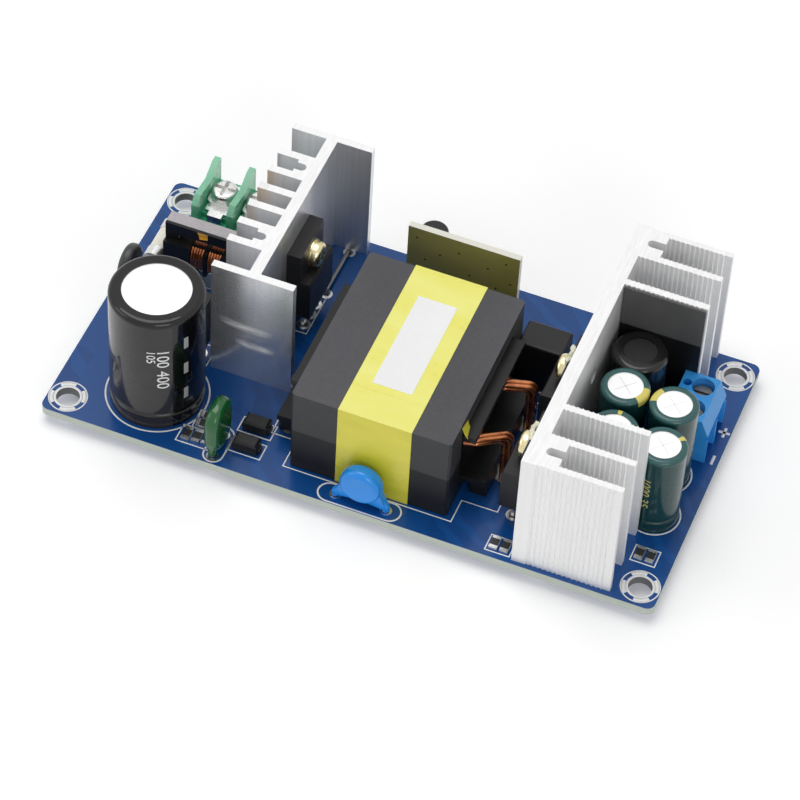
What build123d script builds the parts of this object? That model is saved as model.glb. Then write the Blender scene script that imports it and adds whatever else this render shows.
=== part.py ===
from build123d import *
import math
import os

# Open frame power supply: one printed board with a mains terminal and filter at
# the left, a transformer in the middle and the low voltage output at the right.
# Sizes are millimetres. While it is modelled, X runs along the board, Y to its
# rear edge and Z up, with the origin at the middle of the board's top surface.
# On export everything is lifted, so that z = 0 is the surface it rests on.

# Circuit board
board_length = 110.0
board_width = 58.0
board_thickness = 1.6
board_corner = 1.5
mount_spacing_x = 103.0
mount_spacing_y = 50.0
mount_hole_radius = 2.0
drill_clearance = 0.15
seat_gap = 0.05

# Solder joints under the board
joint_height = 1.3
joint_foot = 0.5
joint_tip = 0.3
lead_fit = 0.02

# Self-tapping screws that hold the heatsinks from below
sink_screw_head_radius = 2.6
sink_screw_head_height = 2.0
sink_screw_radius = 1.3
sink_screw_length = 8.0
sink_screw_recess = 0.7
thread_clearance = 0.02

# Primary heatsink
primary_height = 25.5
primary_web_left = -25.7
primary_web_thickness = 2.0
primary_fin_tip = -32.1
primary_plate_clearance = 1.4
primary_front = -9.1
primary_length = 36.5
primary_plate = 1.4
primary_fin_pitch = 4.42
primary_fin_thickness = 1.45
primary_fin_count = 6
primary_block_tip = -28.1
slot_width = 1.6
slot_wall = 0.5

# Secondary heatsink
secondary_height = 25.4
secondary_web_distance = 13.1
secondary_web_thickness = 2.5
secondary_fin_tip = 47.2
secondary_plate = 1.5
secondary_fin = 1.6
screw_pocket = 4.4
side_pocket = 5.3
bay_front_clearance = 0.4
secondary_block_reach = 3.5
rib_pitch = 0.85
rib_height = 0.22
rib_base = 0.34

# Flat power packages with three legs
package_width = 10.2
package_total_height = 14.5
package_thickness = 4.5
moulded_tab_thickness = 2.6
metal_tab_thickness = 1.3
package_stand = 4.6
package_hole_radius = 1.5
package_hole_drop = 3.3
leg_pitch = 2.54
leg_width = 0.8
leg_thickness = 0.5
leg_inset = 2.5
transistor_y = 8.9
rectifier_ys = (-16.6, 1.6)
pad_thickness = 0.5
pad_height = 17.0
pad_width = 13.0

# Pan head screws of the power packages
clamp_screw_radius = 1.3
clamp_head_radius = 2.3
clamp_head_height = 1.6
clamp_washer_radius = 2.6
clamp_washer_thickness = 0.4
washer_body_clearance = 0.1
clamp_screw_bite = 1.6

# Bridge rectifier
bridge_length = 14.5
bridge_height = 10.6
bridge_thickness = 3.5
bridge_left = -47.8
bridge_front = -8.7
bridge_stand = 3.4
bridge_pitch = 3.8
bridge_chamfer = 2.2

# Common mode choke: an upright ring with two coils on its lower limb
choke_left = -47.7
choke_length = 15.0
choke_front = 7.9
choke_limb = 2.3
choke_top = 13.5
choke_low = 5.6
choke_fit = 0.05
choke_tube_wall = 0.45
choke_cover_wall = 0.45
choke_block_top = 9.7
choke_coil_length = 2.5
choke_coil_flange = 0.7
choke_coil_middle = -39.9
choke_coil_half = 2.55
choke_coil_corner = 1.9
choke_turns = 5
choke_wire_radius = 0.22
choke_pin_inset = 1.2
choke_pin_pitch = 4.1
choke_pin_radius = 0.35
choke_pin_depth = 3.0

# Fuse
fuse_x = -50.5
fuse_front = 8.0
fuse_length = 8.6
fuse_radius = 1.6
fuse_cap_radius = 1.75
fuse_cap_length = 1.9
fuse_height = 2.2
fuse_lead_radius = 0.3
fuse_lead_reach = 1.7

# Inrush thermistor
thermistor_x = -52.3
thermistor_y = 2.5
thermistor_radius = 3.7
thermistor_thickness = 2.2
thermistor_stand = 2.0
thermistor_pitch = 5.0

# Mains terminal with screws
ac_left = -46.8
ac_pitch = 6.6
ac_wall = 1.2
ac_front = 17.0
ac_rear = 26.9
ac_wall_height = 11.8
ac_wall_chamfer = 1.4
ac_wall_slope_end = 4.4
ac_wall_slope_drop = 1.6
ac_wall_overhang = 0.6
ac_base_height = 6.4
ac_front_lip = 1.0
ac_contact_thickness = 0.8
ac_contact_width = 4.4
ac_screw_y = 22.3
ac_screw_radius = 1.4
ac_screw_reach = 3.0
ac_screw_hole_depth = 3.6
ac_head_radius = 2.4
ac_head_height = 1.7
ac_washer_side = 5.0
ac_washer_thickness = 0.7
ac_pin_radius = 0.5
ac_pin_y = 24.8

# Bulk capacitor
bulk_x = -38.0
bulk_y = -18.0
bulk_radius = 8.15
bulk_height = 26.0
bulk_sleeve_wall = 0.25
bulk_top_opening = 5.9
bulk_edge = 1.0
bulk_crimp_height = 3.2
bulk_crimp_depth = 0.5
bulk_pitch = 7.5

# Dipped film capacitor
film_x = -23.9
film_y = -24.8
film_width = 7.6
film_height = 10.0
film_thickness = 2.6
film_corner = 3.4
film_edge = 1.1
film_stand = 0.8
film_pitch = 5.0

# Disc capacitor between the primary and the secondary side
disc_x = 2.7
disc_y = -26.7
disc_radius = 3.7
disc_thickness = 3.0
disc_stand = 1.0
disc_pitch = 9.0
disc_leg_radius = 0.7
disc_skirt_thickness = 1.5

# Surface mounted parts
chip_length = 2.6
chip_width = 1.4
chip_height = 0.6
web_chip_distance = 1.7
web_chip_pitch = 1.9
web_chip_y = -26.1
diode_length = 4.3
diode_width = 2.6
diode_height = 2.2
diode_foot_height = 0.9
diode_x = -19.3
diode_ys = (-18.7, -23.3)

# Transformer
core_middle_x = 2.8
core_length = 28.2
core_front = -24.0
core_width = 34.9
core_stand = 0.2
core_height = 18.0
core_yoke = 3.2
core_leg = 5.4
core_post_radius = 6.0
tape_left = -3.0
tape_width = 13.0
tape_thickness = 0.15
label_length = 21.0
label_width = 7.0
label_front = -16.5
label_thickness = 0.1
rail_half = 10.8
bobbin_flange_reach = 2.3
bobbin_flange = 1.2
bobbin_wall = 1.0
bobbin_gap = 0.2
rail_reach = 4.6
rail_width = 3.0
transformer_pin_radius = 0.4
transformer_pin_depth = 2.6
transformer_pin_pitch = 4.0
primary_pin_count = 6
secondary_pin_count = 3
winding_margin = 0.6

# Enamelled strands that leave the transformer on its secondary side
bundle_ys = (-15.4, -1.9)
bundle_end_ys = (-11.5, 0.2)
bundle_reach = 5.8
bundle_height = 10.6
bundle_row_count = 2
strand_radius = 0.45
strand_gap = 0.03
strand_bend = 1.6

# Jumper wire and boxed capacitor
jumper_x = -20.3
jumper_front = 14.5
jumper_rear = 25.3
jumper_radius = 0.35
jumper_height = 0.9
box_clearance = 0.05
box_length = 8.0
box_front = 8.4
box_width = 5.8
box_height = 10.4
box_pitch = 5.0

# Output inductor
inductor_web_gap = 0.7
inductor_can_gap = 0.25
inductor_radius = 4.8
inductor_height = 16.8
inductor_stand = 0.6
inductor_flange = 1.4
inductor_waist = 2.6
inductor_wall = 0.35
inductor_opening = 2.9
inductor_pitch = 4.2
inductor_lead_radius = 0.45

# Output capacitors
output_front_y = -9.2
output_row_pitch = 9.4
output_xs = (38.5, 47.3, 39.8, 48.4)
output_shifts = (0.0, -0.6, 0.0, -0.3)
output_radius = 4.2
output_height = 17.8
output_sleeve_wall = 0.2
output_opening = 3.0
output_edge = 0.7
output_crimp_height = 2.4
output_crimp_depth = 0.35
output_pitch = 3.5
thin_lead_radius = 0.3
thick_lead_radius = 0.45

# Insulating sheet between the output inductor and the heatsink
sheet_thickness = 0.3
sheet_clearance = 0.05
sheet_low = 0.4
sheet_top_gap = 0.3
sheet_edge_gap = 0.15

# Output terminal
dc_left = 45.1
dc_top_depth = 6.2
dc_ledge_reach = 7.5
dc_foot_reach = 6.7
dc_front = 4.3
dc_pitch = 5.08
dc_poles = 2
dc_height = 9.9
dc_slope_drop = 3.2
dc_ledge_drop = 4.3
dc_screw_x = 49.0
dc_well_radius = 1.95
dc_small_hole_x = 46.2
dc_small_hole_radius = 0.75
dc_small_hole_depth = 4.0
dc_entry_width = 3.6
dc_entry_height = 4.6
dc_entry_floor = 0.9
dc_entry_depth = 5.6
dc_cage_wall = 0.5
dc_cage_depth = 3.4
dc_head_radius = 1.75
dc_head_height = 1.4
dc_head_drop = 1.6
dc_pin_radius = 0.5

# Control board behind the transformer
control_left = -8.5
control_length = 20.5
control_front = 22.0
control_thickness = 1.2
control_height = 14.7
control_stand = 0.4
control_pin_count = 8
control_pin_pitch = 2.2
control_pin_side = 0.5
control_pin_overlap = 2.5
control_part_offset = 0.5
control_part_length = 4.9
control_part_low = 7.6
control_part_height = 3.9
control_part_depth = 1.5
control_chips = (
    (-3.2, 9.0),
    (-3.2, 11.2),
    (7.6, 8.6),
    (7.6, 10.8),
    (7.6, 13.0),
    (2.9, 13.2),
    (-1.2, 5.2),
    (2.4, 5.2),
)

# Small electrolytic behind the control board
aux_x = -5.2
aux_y = 26.35
aux_radius = 2.5
aux_height = 11.2
aux_pitch = 2.0

# Optocoupler between the transformer and the control board
opto_x = 9.0
opto_y = 16.0
opto_length = 6.4
opto_width = 4.6
opto_height = 3.4
opto_stand = 0.4
opto_leg_side = 0.5

# Places that follow from the sizes above
core_left = core_middle_x - core_length / 2
core_right = core_left + core_length
box_left = core_right + box_clearance
bundle_end_x = core_right + bundle_reach
primary_plate_tip = core_left - rail_reach - primary_plate_clearance
secondary_web_left = core_right + secondary_web_distance
secondary_web_right = secondary_web_left + secondary_web_thickness
secondary_block_tip = secondary_web_right + secondary_block_reach
output_rear_y = output_front_y + output_row_pitch
output_ys = (output_rear_y, output_rear_y, output_front_y, output_front_y)
output_places = [(x, y + shift) for x, y, shift in zip(output_xs, output_ys, output_shifts)]
inductor_x = secondary_web_right + inductor_web_gap + inductor_radius
inductor_y = output_rear_y + output_radius + inductor_can_gap + inductor_radius
bay_front = output_front_y - output_radius - bay_front_clearance
bay_rear = inductor_y + inductor_radius + sheet_clearance + sheet_thickness
bay_length = bay_rear - bay_front
secondary_middle = (bay_front + bay_rear) / 2
package_body_height = package_total_height - package_hole_drop - clamp_washer_radius - washer_body_clearance
web_chip_x = secondary_web_left - web_chip_distance
# Each chip's centre x, centre y, and whether its long side is along X
chip_places = (
    (-29.6, -24.7, False),
    (-27.8, -24.6, False),
    (-26.0, -24.5, False),
    (-27.8, -19.8, True),
    (-27.8, -21.7, True),
    (web_chip_x - web_chip_pitch, web_chip_y, False),
    (web_chip_x, web_chip_y, False),
    (49.2, -18.6, False),
    (51.1, -18.6, False),
)
lift = board_thickness + sink_screw_head_height
under = -board_thickness
lead_end = under - 0.6 * joint_height


def block(x0, x1, y0, y1, z0, z1):
    size = Box(x1 - x0, y1 - y0, z1 - z0)
    return Pos((x0 + x1) / 2, (y0 + y1) / 2, (z0 + z1) / 2) * size


def post(x, y, z0, z1, radius):
    return Pos(x, y, (z0 + z1) / 2) * Cylinder(radius, z1 - z0)


def rod_x(x0, x1, y, z, radius):
    return Pos((x0 + x1) / 2, y, z) * Rot(0, 90, 0) * Cylinder(radius, x1 - x0)


def rod_y(y0, y1, x, z, radius):
    return Pos(x, (y0 + y1) / 2, z) * Rot(90, 0, 0) * Cylinder(radius, y1 - y0)


def wire(points, radius, bend):
    path = FilletPolyline(*points, radius=bend)
    start = Plane(origin=points[0], z_dir=path % 0)
    return sweep(start * Circle(radius), path=path)


def pair(middle, pitch):
    return [middle - pitch / 2, middle + pitch / 2]


def row(middle, pitch, count):
    return [middle + (i - (count - 1) / 2) * pitch for i in range(count)]


def mount_spots():
    return [(x, y) for x in pair(0, mount_spacing_x) for y in pair(0, mount_spacing_y)]


# Where each kind of lead passes through the board: place and radius.
def package_spots():
    spots = []
    face = primary_web_left + primary_web_thickness
    for y in row(transistor_y, leg_pitch, 3):
        spots.append((face + leg_inset, y))
    for middle in rectifier_ys:
        for y in row(middle, leg_pitch, 3):
            spots.append((secondary_web_left - pad_thickness - leg_inset, y))
    return spots


def bridge_spots():
    middle = bridge_left + bridge_length / 2
    y = bridge_front + bridge_thickness / 2
    return [(x, y) for x in row(middle, bridge_pitch, 4)]


def choke_pin_spots():
    xs = (choke_left + choke_pin_inset, choke_left + choke_length - choke_pin_inset)
    middle = choke_front + choke_limb / 2
    return [(x, y) for x in xs for y in pair(middle, choke_pin_pitch)]


def fuse_spots():
    ends = (fuse_front - fuse_lead_reach, fuse_front + fuse_length + fuse_lead_reach)
    return [(fuse_x, y) for y in ends]


def thermistor_spots():
    return [(thermistor_x, y) for y in pair(thermistor_y, thermistor_pitch)]


def ac_pin_spots():
    return [(x, ac_pin_y) for x in ac_screw_xs()]


def bulk_spots():
    return [(x, bulk_y) for x in pair(bulk_x, bulk_pitch)]


def film_spots():
    return [(film_x, y) for y in pair(film_y, film_pitch)]


def disc_spots():
    return [(x, disc_y) for x in pair(disc_x, disc_pitch)]


def transformer_pin_spots():
    middle = core_front + core_width / 2
    left = core_left - rail_reach + rail_width / 2
    spots = [(left, y) for y in row(middle, transformer_pin_pitch, primary_pin_count)]
    right = core_left + core_length + rail_reach - rail_width / 2
    for y in row(middle - 1.0, transformer_pin_pitch * 2, secondary_pin_count):
        spots.append((right, y))
    return spots


def bundle_spots():
    return [(bundle_end_x, y) for y in bundle_end_ys]


# Each strand's place in its bundle, across and along the bend.
def bundle_offsets():
    pitch = 2 * strand_radius + strand_gap
    places = row(0, pitch, bundle_row_count)
    return [(a, b) for a in places for b in places]


def bundle_radius():
    across, along = bundle_offsets()[-1]
    return math.hypot(across, along) + strand_radius


def jumper_spots():
    return [(jumper_x, jumper_front), (jumper_x, jumper_rear)]


def box_spots():
    middle_x = box_left + box_length / 2
    return [(x, box_front + box_width / 2) for x in pair(middle_x, box_pitch)]


def inductor_spots():
    return [(x, inductor_y) for x in pair(inductor_x, inductor_pitch)]


def output_spots():
    return [(x, y) for place_x, y in output_places for x in pair(place_x, output_pitch)]


def dc_pin_spots():
    return [(dc_screw_x - 1.0, y) for y in dc_pole_ys()]


def control_pin_spots():
    middle = control_left + control_length / 2
    y = control_front + control_thickness + control_pin_side / 2
    return [(x, y) for x in row(middle, control_pin_pitch, control_pin_count)]


def aux_spots():
    return [(x, aux_y) for x in pair(aux_x, aux_pitch)]


def opto_spots():
    xs = pair(opto_x, opto_length + opto_leg_side)
    return [(x, y) for x in xs for y in pair(opto_y, leg_pitch)]


def lead_table():
    return [
        (package_spots(), math.hypot(leg_width, leg_thickness) / 2),
        (bridge_spots(), thick_lead_radius),
        (choke_pin_spots(), choke_pin_radius),
        (fuse_spots(), fuse_lead_radius),
        (thermistor_spots(), thin_lead_radius),
        (ac_pin_spots(), ac_pin_radius),
        (bulk_spots(), thick_lead_radius),
        (film_spots(), thin_lead_radius),
        (disc_spots(), thin_lead_radius),
        (transformer_pin_spots(), transformer_pin_radius),
        (jumper_spots(), jumper_radius),
        (box_spots(), thin_lead_radius),
        (inductor_spots(), inductor_lead_radius),
        (output_spots(), thin_lead_radius),
        (dc_pin_spots(), dc_pin_radius),
        (control_pin_spots(), control_pin_side * math.sqrt(0.5)),
        (aux_spots(), thin_lead_radius),
        (opto_spots(), opto_leg_side * math.sqrt(0.5)),
        (bundle_spots(), bundle_radius()),
    ]


def straight_leads(spots, top, radius):
    return [post(x, y, lead_end, top, radius) for x, y in spots]


def sink_screw_spots():
    primary_gaps = primary_gap_ys()
    spots = []
    for y in (primary_gaps[0], primary_gaps[-1]):
        spots.append((primary_web_left - slot_wall - sink_screw_radius, y))
    half = secondary_half()
    for side in (-1, 1):
        y = secondary_middle + side * (half - secondary_plate - screw_pocket / 2)
        x = secondary_web_left + secondary_web_thickness + slot_wall + sink_screw_radius
        spots.append((x, y))
    return spots


def circuit_board():
    outline = RectangleRounded(board_length, board_width, board_corner)
    board = extrude(outline, amount=-board_thickness)
    cuts = [post(x, y, under, 0, mount_hole_radius) for x, y in mount_spots()]
    for spots, radius in lead_table():
        for x, y in spots:
            cuts.append(post(x, y, under, 0, radius + drill_clearance))
    for x, y in sink_screw_spots():
        cuts.append(post(x, y, under, 0, sink_screw_radius + drill_clearance))
    return board - cuts


def solder_joints():
    joints = []
    for spots, radius in lead_table():
        for x, y in spots:
            joints.append(solder_joint(x, y, radius))
    return joints


# A cone of solder with a blind hole that holds the end of the lead.
def solder_joint(x, y, radius):
    cone = Cone(radius + joint_tip, radius + joint_foot, joint_height)
    joint = Pos(x, y, under - joint_height / 2) * cone
    return joint - post(x, y, lead_end, under, radius + lead_fit)


def sink_screws():
    screws = []
    for x, y in sink_screw_spots():
        head = post(x, y, under - sink_screw_head_height, under, sink_screw_head_radius)
        head = chamfer(head.edges().group_by(Axis.Z)[0], 0.6)
        shank = post(x, y, under, sink_screw_length + under, sink_screw_radius)
        low = under - sink_screw_head_height
        slot_long = sink_screw_head_radius
        cut = block(x - slot_long / 2, x + slot_long / 2, y - 0.35, y + 0.35, low, low + sink_screw_recess)
        cut += block(x - 0.35, x + 0.35, y - slot_long / 2, y + slot_long / 2, low, low + sink_screw_recess)
        screws.append(head + shank - cut)
    return screws


def primary_gap_ys():
    middle = primary_front + primary_length / 2
    ys = row(middle, primary_fin_pitch, primary_fin_count)
    return [(a + b) / 2 for a, b in zip(ys, ys[1:])]


# Extrusion with plain fins, a web and two end plates, with two screw ports.
def primary_heatsink():
    rear = primary_front + primary_length
    middle = primary_front + primary_length / 2
    web_right = primary_web_left + primary_web_thickness
    sink = block(primary_web_left, web_right, primary_front, rear, 0, primary_height)
    for y in (primary_front, rear - primary_plate):
        sink += block(primary_fin_tip, primary_plate_tip, y, y + primary_plate, 0, primary_height)
    half = primary_fin_thickness / 2
    for y in row(middle, primary_fin_pitch, primary_fin_count):
        sink += block(primary_fin_tip, web_right, y - half, y + half, 0, primary_height)
    gaps = primary_gap_ys()
    for y in (gaps[0], gaps[-1]):
        low = y - primary_fin_pitch / 2
        high = y + primary_fin_pitch / 2
        sink += block(primary_block_tip, web_right, low, high, 0, primary_height)
        end = primary_web_left - slot_wall - slot_width / 2
        slot = block(primary_block_tip, end, y - slot_width / 2, y + slot_width / 2, 0, primary_height)
        sink -= slot + post(end, y, 0, primary_height, slot_width / 2)
    for x, y in sink_screw_spots()[:2]:
        sink -= post(x, y, 0, sink_screw_length + under, sink_screw_radius + thread_clearance)
    hole_z = package_stand + package_total_height - package_hole_drop
    sink -= rod_x(primary_web_left, web_right, transistor_y, hole_z, clamp_screw_radius + thread_clearance)
    return sink


def secondary_half():
    side = secondary_plate + screw_pocket + secondary_fin + side_pocket + secondary_fin
    return side + bay_length / 2


# One edge of a fin: a straight run with small pointed ribs on it.
def ribbed_edge(x0, x1, y, side):
    count = int((x1 - x0 - rib_pitch) / rib_pitch)
    points = [(x0, y)]
    for i in range(count):
        x = x0 + rib_pitch * (i + 1)
        points.append((x - rib_base / 2, y))
        points.append((x, y + side * rib_height))
        points.append((x + rib_base / 2, y))
    points.append((x1, y))
    return points


def ribbed_fin(x0, x1, y0, y1):
    lower = ribbed_edge(x0, x1, y0, -1)
    upper = ribbed_edge(x0, x1, y1, 1)
    outline = Polyline(*lower, *reversed(upper), close=True)
    return extrude(make_face(outline), amount=secondary_height)


# Extrusion with ribbed fins: two end plates, two screw pockets and a wide bay.
def secondary_heatsink():
    half = secondary_half()
    left = secondary_web_left
    web_right = left + secondary_web_thickness
    front = secondary_middle - half
    rear = secondary_middle + half
    sink = block(left, web_right, front, rear, 0, secondary_height)
    start = web_right - 0.4
    for side in (-1, 1):
        edge = secondary_middle + side * half
        spans = [(0, secondary_plate)]
        spans.append((secondary_plate + screw_pocket, secondary_plate + screw_pocket + secondary_fin))
        last = secondary_plate + screw_pocket + secondary_fin + side_pocket
        spans.append((last, last + secondary_fin))
        for near, far in spans:
            a = edge - side * near
            b = edge - side * far
            sink += ribbed_fin(start, secondary_fin_tip, min(a, b) + rib_height, max(a, b) - rib_height)
        inner = edge - side * secondary_plate
        outer = edge - side * (secondary_plate + screw_pocket)
        y = (inner + outer) / 2
        low = min(inner, outer) - rib_height
        high = max(inner, outer) + rib_height
        sink += block(web_right, secondary_block_tip, low, high, 0, secondary_height)
        end = web_right + slot_wall + slot_width / 2
        slot = block(end, secondary_block_tip, y - slot_width / 2, y + slot_width / 2, 0, secondary_height)
        sink -= slot + post(end, y, 0, secondary_height, slot_width / 2)
    for x, y in sink_screw_spots()[2:]:
        sink -= post(x, y, 0, sink_screw_length + under, sink_screw_radius + thread_clearance)
    hole_z = package_stand + package_total_height - package_hole_drop
    for y in rectifier_ys:
        sink -= rod_x(left, web_right, y, hole_z, clamp_screw_radius + thread_clearance)
    return sink


# Moulded body with a thinner upper part and a screw hole; side is +1 to the right.
def power_package(face, y, side, tab):
    low = package_stand
    step = low + package_body_height
    top = low + package_total_height
    deep = face + side * package_thickness
    thin = face + side * tab
    profile = Polyline(
        (face, low),
        (deep, low),
        (deep, step - 0.5),
        (deep - side * 0.3, step),
        (thin, step),
        (thin, top),
        (face, top),
        close=True,
    )
    section = Plane.XZ * make_face(profile)
    body = Pos(0, y + package_width / 2, 0) * extrude(section, amount=package_width)
    hole_z = top - package_hole_drop
    ends = sorted((face, thin))
    return body - rod_x(ends[0], ends[1], y, hole_z, package_hole_radius)


def package_legs(spots):
    legs = []
    for x, y in spots:
        half_t = leg_thickness / 2
        half_w = leg_width / 2
        legs.append(block(x - half_t, x + half_t, y - half_w, y + half_w, lead_end, package_stand))
    return legs


def clamp_screw(face, y, side, tab):
    z = package_stand + package_total_height - package_hole_drop
    seat = face + side * tab
    washer_out = seat + side * clamp_washer_thickness
    head_out = washer_out + side * clamp_head_height
    bite = face - side * clamp_screw_bite
    shank = rod_x(min(bite, seat), max(bite, seat), y, z, clamp_screw_radius)
    washer = rod_x(min(seat, washer_out), max(seat, washer_out), y, z, clamp_washer_radius)
    head = rod_x(min(washer_out, head_out), max(washer_out, head_out), y, z, clamp_head_radius)
    rim = head.edges().group_by(Axis.X)[-1 if side > 0 else 0]
    head = fillet(rim, 0.9)
    screw = shank + washer + head
    deep = head_out - side * 0.9
    for dy, dz in ((1.25, 0.3), (0.3, 1.25)):
        screw -= block(min(deep, head_out), max(deep, head_out), y - dy, y + dy, z - dz, z + dz)
    return screw


def insulating_pads():
    pads = []
    hole_z = package_stand + package_total_height - package_hole_drop
    right = secondary_web_left
    left = right - pad_thickness
    for y in rectifier_ys:
        low = package_stand - 0.8
        pad = block(left, right, y - pad_width / 2, y + pad_width / 2, low, low + pad_height)
        pads.append(pad - rod_x(left, right, y, hole_z, clamp_screw_radius + thread_clearance))
    return pads


def bridge_rectifier():
    right = bridge_left + bridge_length
    rear = bridge_front + bridge_thickness
    body = block(bridge_left, right, bridge_front, rear, bridge_stand, bridge_stand + bridge_height)
    corner = body.edges().filter_by(Axis.Y).group_by(Axis.Z)[-1].sort_by(Axis.X)[0]
    return chamfer(corner, bridge_chamfer)


def choke_axis():
    return choke_front + choke_limb / 2, choke_low + choke_limb / 2


# A square bar along X, centred on the lower limb.
def choke_bar(x0, x1, half):
    y, z = choke_axis()
    return block(x0, x1, y - half, y + half, z - half, z + half)


def choke_ring(grow):
    right = choke_left + choke_length
    rear = choke_front + choke_limb
    front = choke_front - grow
    back = rear + grow
    ring = block(choke_left - grow, right + grow, front, back, choke_low - grow, choke_top + grow)
    limb = choke_limb + grow
    return ring - block(choke_left + limb, right - limb, front, back, choke_low + limb, choke_top - limb)


def choke_coil_spans():
    left_end = choke_coil_middle - choke_coil_flange / 2
    right_start = choke_coil_middle + choke_coil_flange / 2
    return [(left_end - choke_coil_length, left_end), (right_start, right_start + choke_coil_length)]


# End blocks with pins, a tube on the lower limb and a cover in front of the upper one.
def choke_bobbin():
    y, z = choke_axis()
    right = choke_left + choke_length
    half = choke_coil_half + choke_wire_radius
    spans = choke_coil_spans()
    body = choke_bar(choke_left, right, choke_limb / 2 + choke_fit + choke_tube_wall)
    body += choke_bar(spans[0][1], spans[1][0], half)
    for x0, x1 in ((choke_left, spans[0][0]), (spans[1][1], right)):
        body += block(x0, x1, y - half, y + half, seat_gap, choke_block_top)
    cover_front = choke_front - choke_fit - choke_cover_wall
    body += block(choke_left, right, cover_front, choke_front, choke_block_top - 0.1, choke_top - 0.1)
    inner_left = choke_left + choke_limb
    inner_right = right - choke_limb
    body -= block(inner_left, inner_right, cover_front, choke_front, choke_block_top, choke_top - choke_limb)
    body -= choke_ring(choke_fit)
    for x, pin_y in choke_pin_spots():
        body -= post(x, pin_y, seat_gap, choke_pin_depth, choke_pin_radius + lead_fit)
    return body


# One coil: a sleeve with the rounded crests of its turns standing out of it.
def choke_coil(span):
    y, z = choke_axis()
    inner = choke_limb / 2 + choke_fit + choke_tube_wall + lead_fit
    coil = choke_bar(span[0] + lead_fit, span[1] - lead_fit, choke_coil_half)
    coil = fillet(coil.edges().filter_by(Axis.X), choke_coil_corner)
    pitch = (choke_coil_length - 2 * lead_fit) / choke_turns
    side = 2 * (choke_coil_half + choke_wire_radius)
    outline = RectangleRounded(side, side, choke_coil_corner + choke_wire_radius)
    for x in row((span[0] + span[1]) / 2, pitch, choke_turns):
        across = Plane(origin=(x - choke_wire_radius, y, z), x_dir=(0, 1, 0), z_dir=(1, 0, 0))
        turn = extrude(across * outline, amount=2 * choke_wire_radius)
        ends = turn.edges().group_by(Axis.X)
        coil += chamfer(ends[0] + ends[-1], choke_wire_radius * 0.6)
    return coil - choke_bar(span[0], span[1], inner)


def fuse_body():
    low = fuse_front + 0.1
    return rod_y(low, fuse_front + fuse_length - 0.1, fuse_x, fuse_height, fuse_radius)


def fuse_caps():
    caps = []
    rear = fuse_front + fuse_length
    for y0, y1 in ((fuse_front - 0.3, fuse_front + fuse_cap_length), (rear - fuse_cap_length, rear + 0.3)):
        cap = rod_y(y0, y1, fuse_x, fuse_height, fuse_cap_radius)
        caps.append(cap - fuse_body())
    return caps


def fuse_leads():
    leads = []
    rear = fuse_front + fuse_length
    for start, spot in ((fuse_front - 0.3, fuse_spots()[0][1]), (rear + 0.3, fuse_spots()[1][1])):
        points = [(fuse_x, start, fuse_height), (fuse_x, spot, fuse_height), (fuse_x, spot, lead_end)]
        leads.append(wire(points, fuse_lead_radius, 0.8))
    return leads


# Dipped disc with rounded rim, standing across the X axis.
def thermistor():
    z = thermistor_stand + thermistor_radius
    half = thermistor_thickness / 2
    disc = rod_x(thermistor_x - half, thermistor_x + half, thermistor_y, z, thermistor_radius)
    disc = fillet(disc.edges().filter_by(GeomType.CIRCLE), 0.9)
    for x, y in thermistor_spots():
        disc += post(x, y, thermistor_stand, z, 0.7)
        disc -= post(x, y, thermistor_stand, thermistor_stand + 1.0, thin_lead_radius + lead_fit)
    return disc


def ac_screw_xs():
    first = ac_left + ac_wall / 2 + ac_pitch / 2
    return [first, first + ac_pitch]


def ac_wall_xs():
    return [ac_left + i * ac_pitch for i in range(3)]


# Barrier terminal: a base with three tall walls beside the poles.
def ac_housing():
    right = ac_left + 2 * ac_pitch + ac_wall
    base = block(ac_left, right, ac_front, ac_rear, seat_gap, ac_base_height)
    base -= block(ac_left, right, ac_front, ac_front + 1.2, ac_base_height - ac_front_lip, ac_base_height)
    for x in ac_wall_xs():
        profile = Polyline(
            (ac_front - ac_wall_overhang, seat_gap),
            (ac_rear, seat_gap),
            (ac_rear, ac_wall_height),
            (ac_rear - ac_wall_chamfer, ac_wall_height),
            (ac_rear - ac_wall_slope_end, ac_wall_height - ac_wall_slope_drop),
            (ac_front + 0.8, ac_wall_height - 0.9),
            (ac_front - ac_wall_overhang, ac_wall_height - 2.4),
            close=True,
        )
        wall = extrude(Plane.YZ * make_face(profile), amount=ac_wall)
        base += Pos(x, 0, 0) * wall
    hole_low = ac_base_height - ac_screw_hole_depth
    for x in ac_screw_xs():
        base -= post(x, ac_screw_y, hole_low, ac_base_height, ac_screw_radius + drill_clearance)
        base -= post(x, ac_pin_y, seat_gap, ac_base_height, ac_pin_radius + drill_clearance)
    return base


# Contact strip on the base, with a turned-down tab in front and a solder pin.
def ac_contacts():
    contacts = []
    top = ac_base_height + ac_contact_thickness
    half = ac_contact_width / 2
    for x in ac_screw_xs():
        strip = block(x - half, x + half, ac_front + 1.4, ac_pin_y + 0.9, ac_base_height, top)
        strip += block(x - 1.3, x + 1.3, ac_front + 0.5, ac_front + 1.4, ac_base_height, top)
        tab_low = ac_base_height - ac_front_lip + 0.1
        strip += block(x - 1.3, x + 1.3, ac_front + 0.2, ac_front + 0.9, tab_low, top)
        strip += post(x, ac_pin_y, lead_end, ac_base_height, ac_pin_radius)
        contacts.append(strip - post(x, ac_screw_y, ac_base_height, top, ac_screw_radius + thread_clearance))
    return contacts


def ac_washers():
    washers = []
    low = ac_base_height + ac_contact_thickness
    half = ac_washer_side / 2
    for x in ac_screw_xs():
        top = low + ac_washer_thickness
        plate = block(x - half, x + half, ac_screw_y - half, ac_screw_y + half, low, top)
        plate = fillet(plate.edges().filter_by(Axis.Z), 0.8)
        washers.append(plate - post(x, ac_screw_y, low, top, ac_screw_radius + drill_clearance))
    return washers


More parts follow.
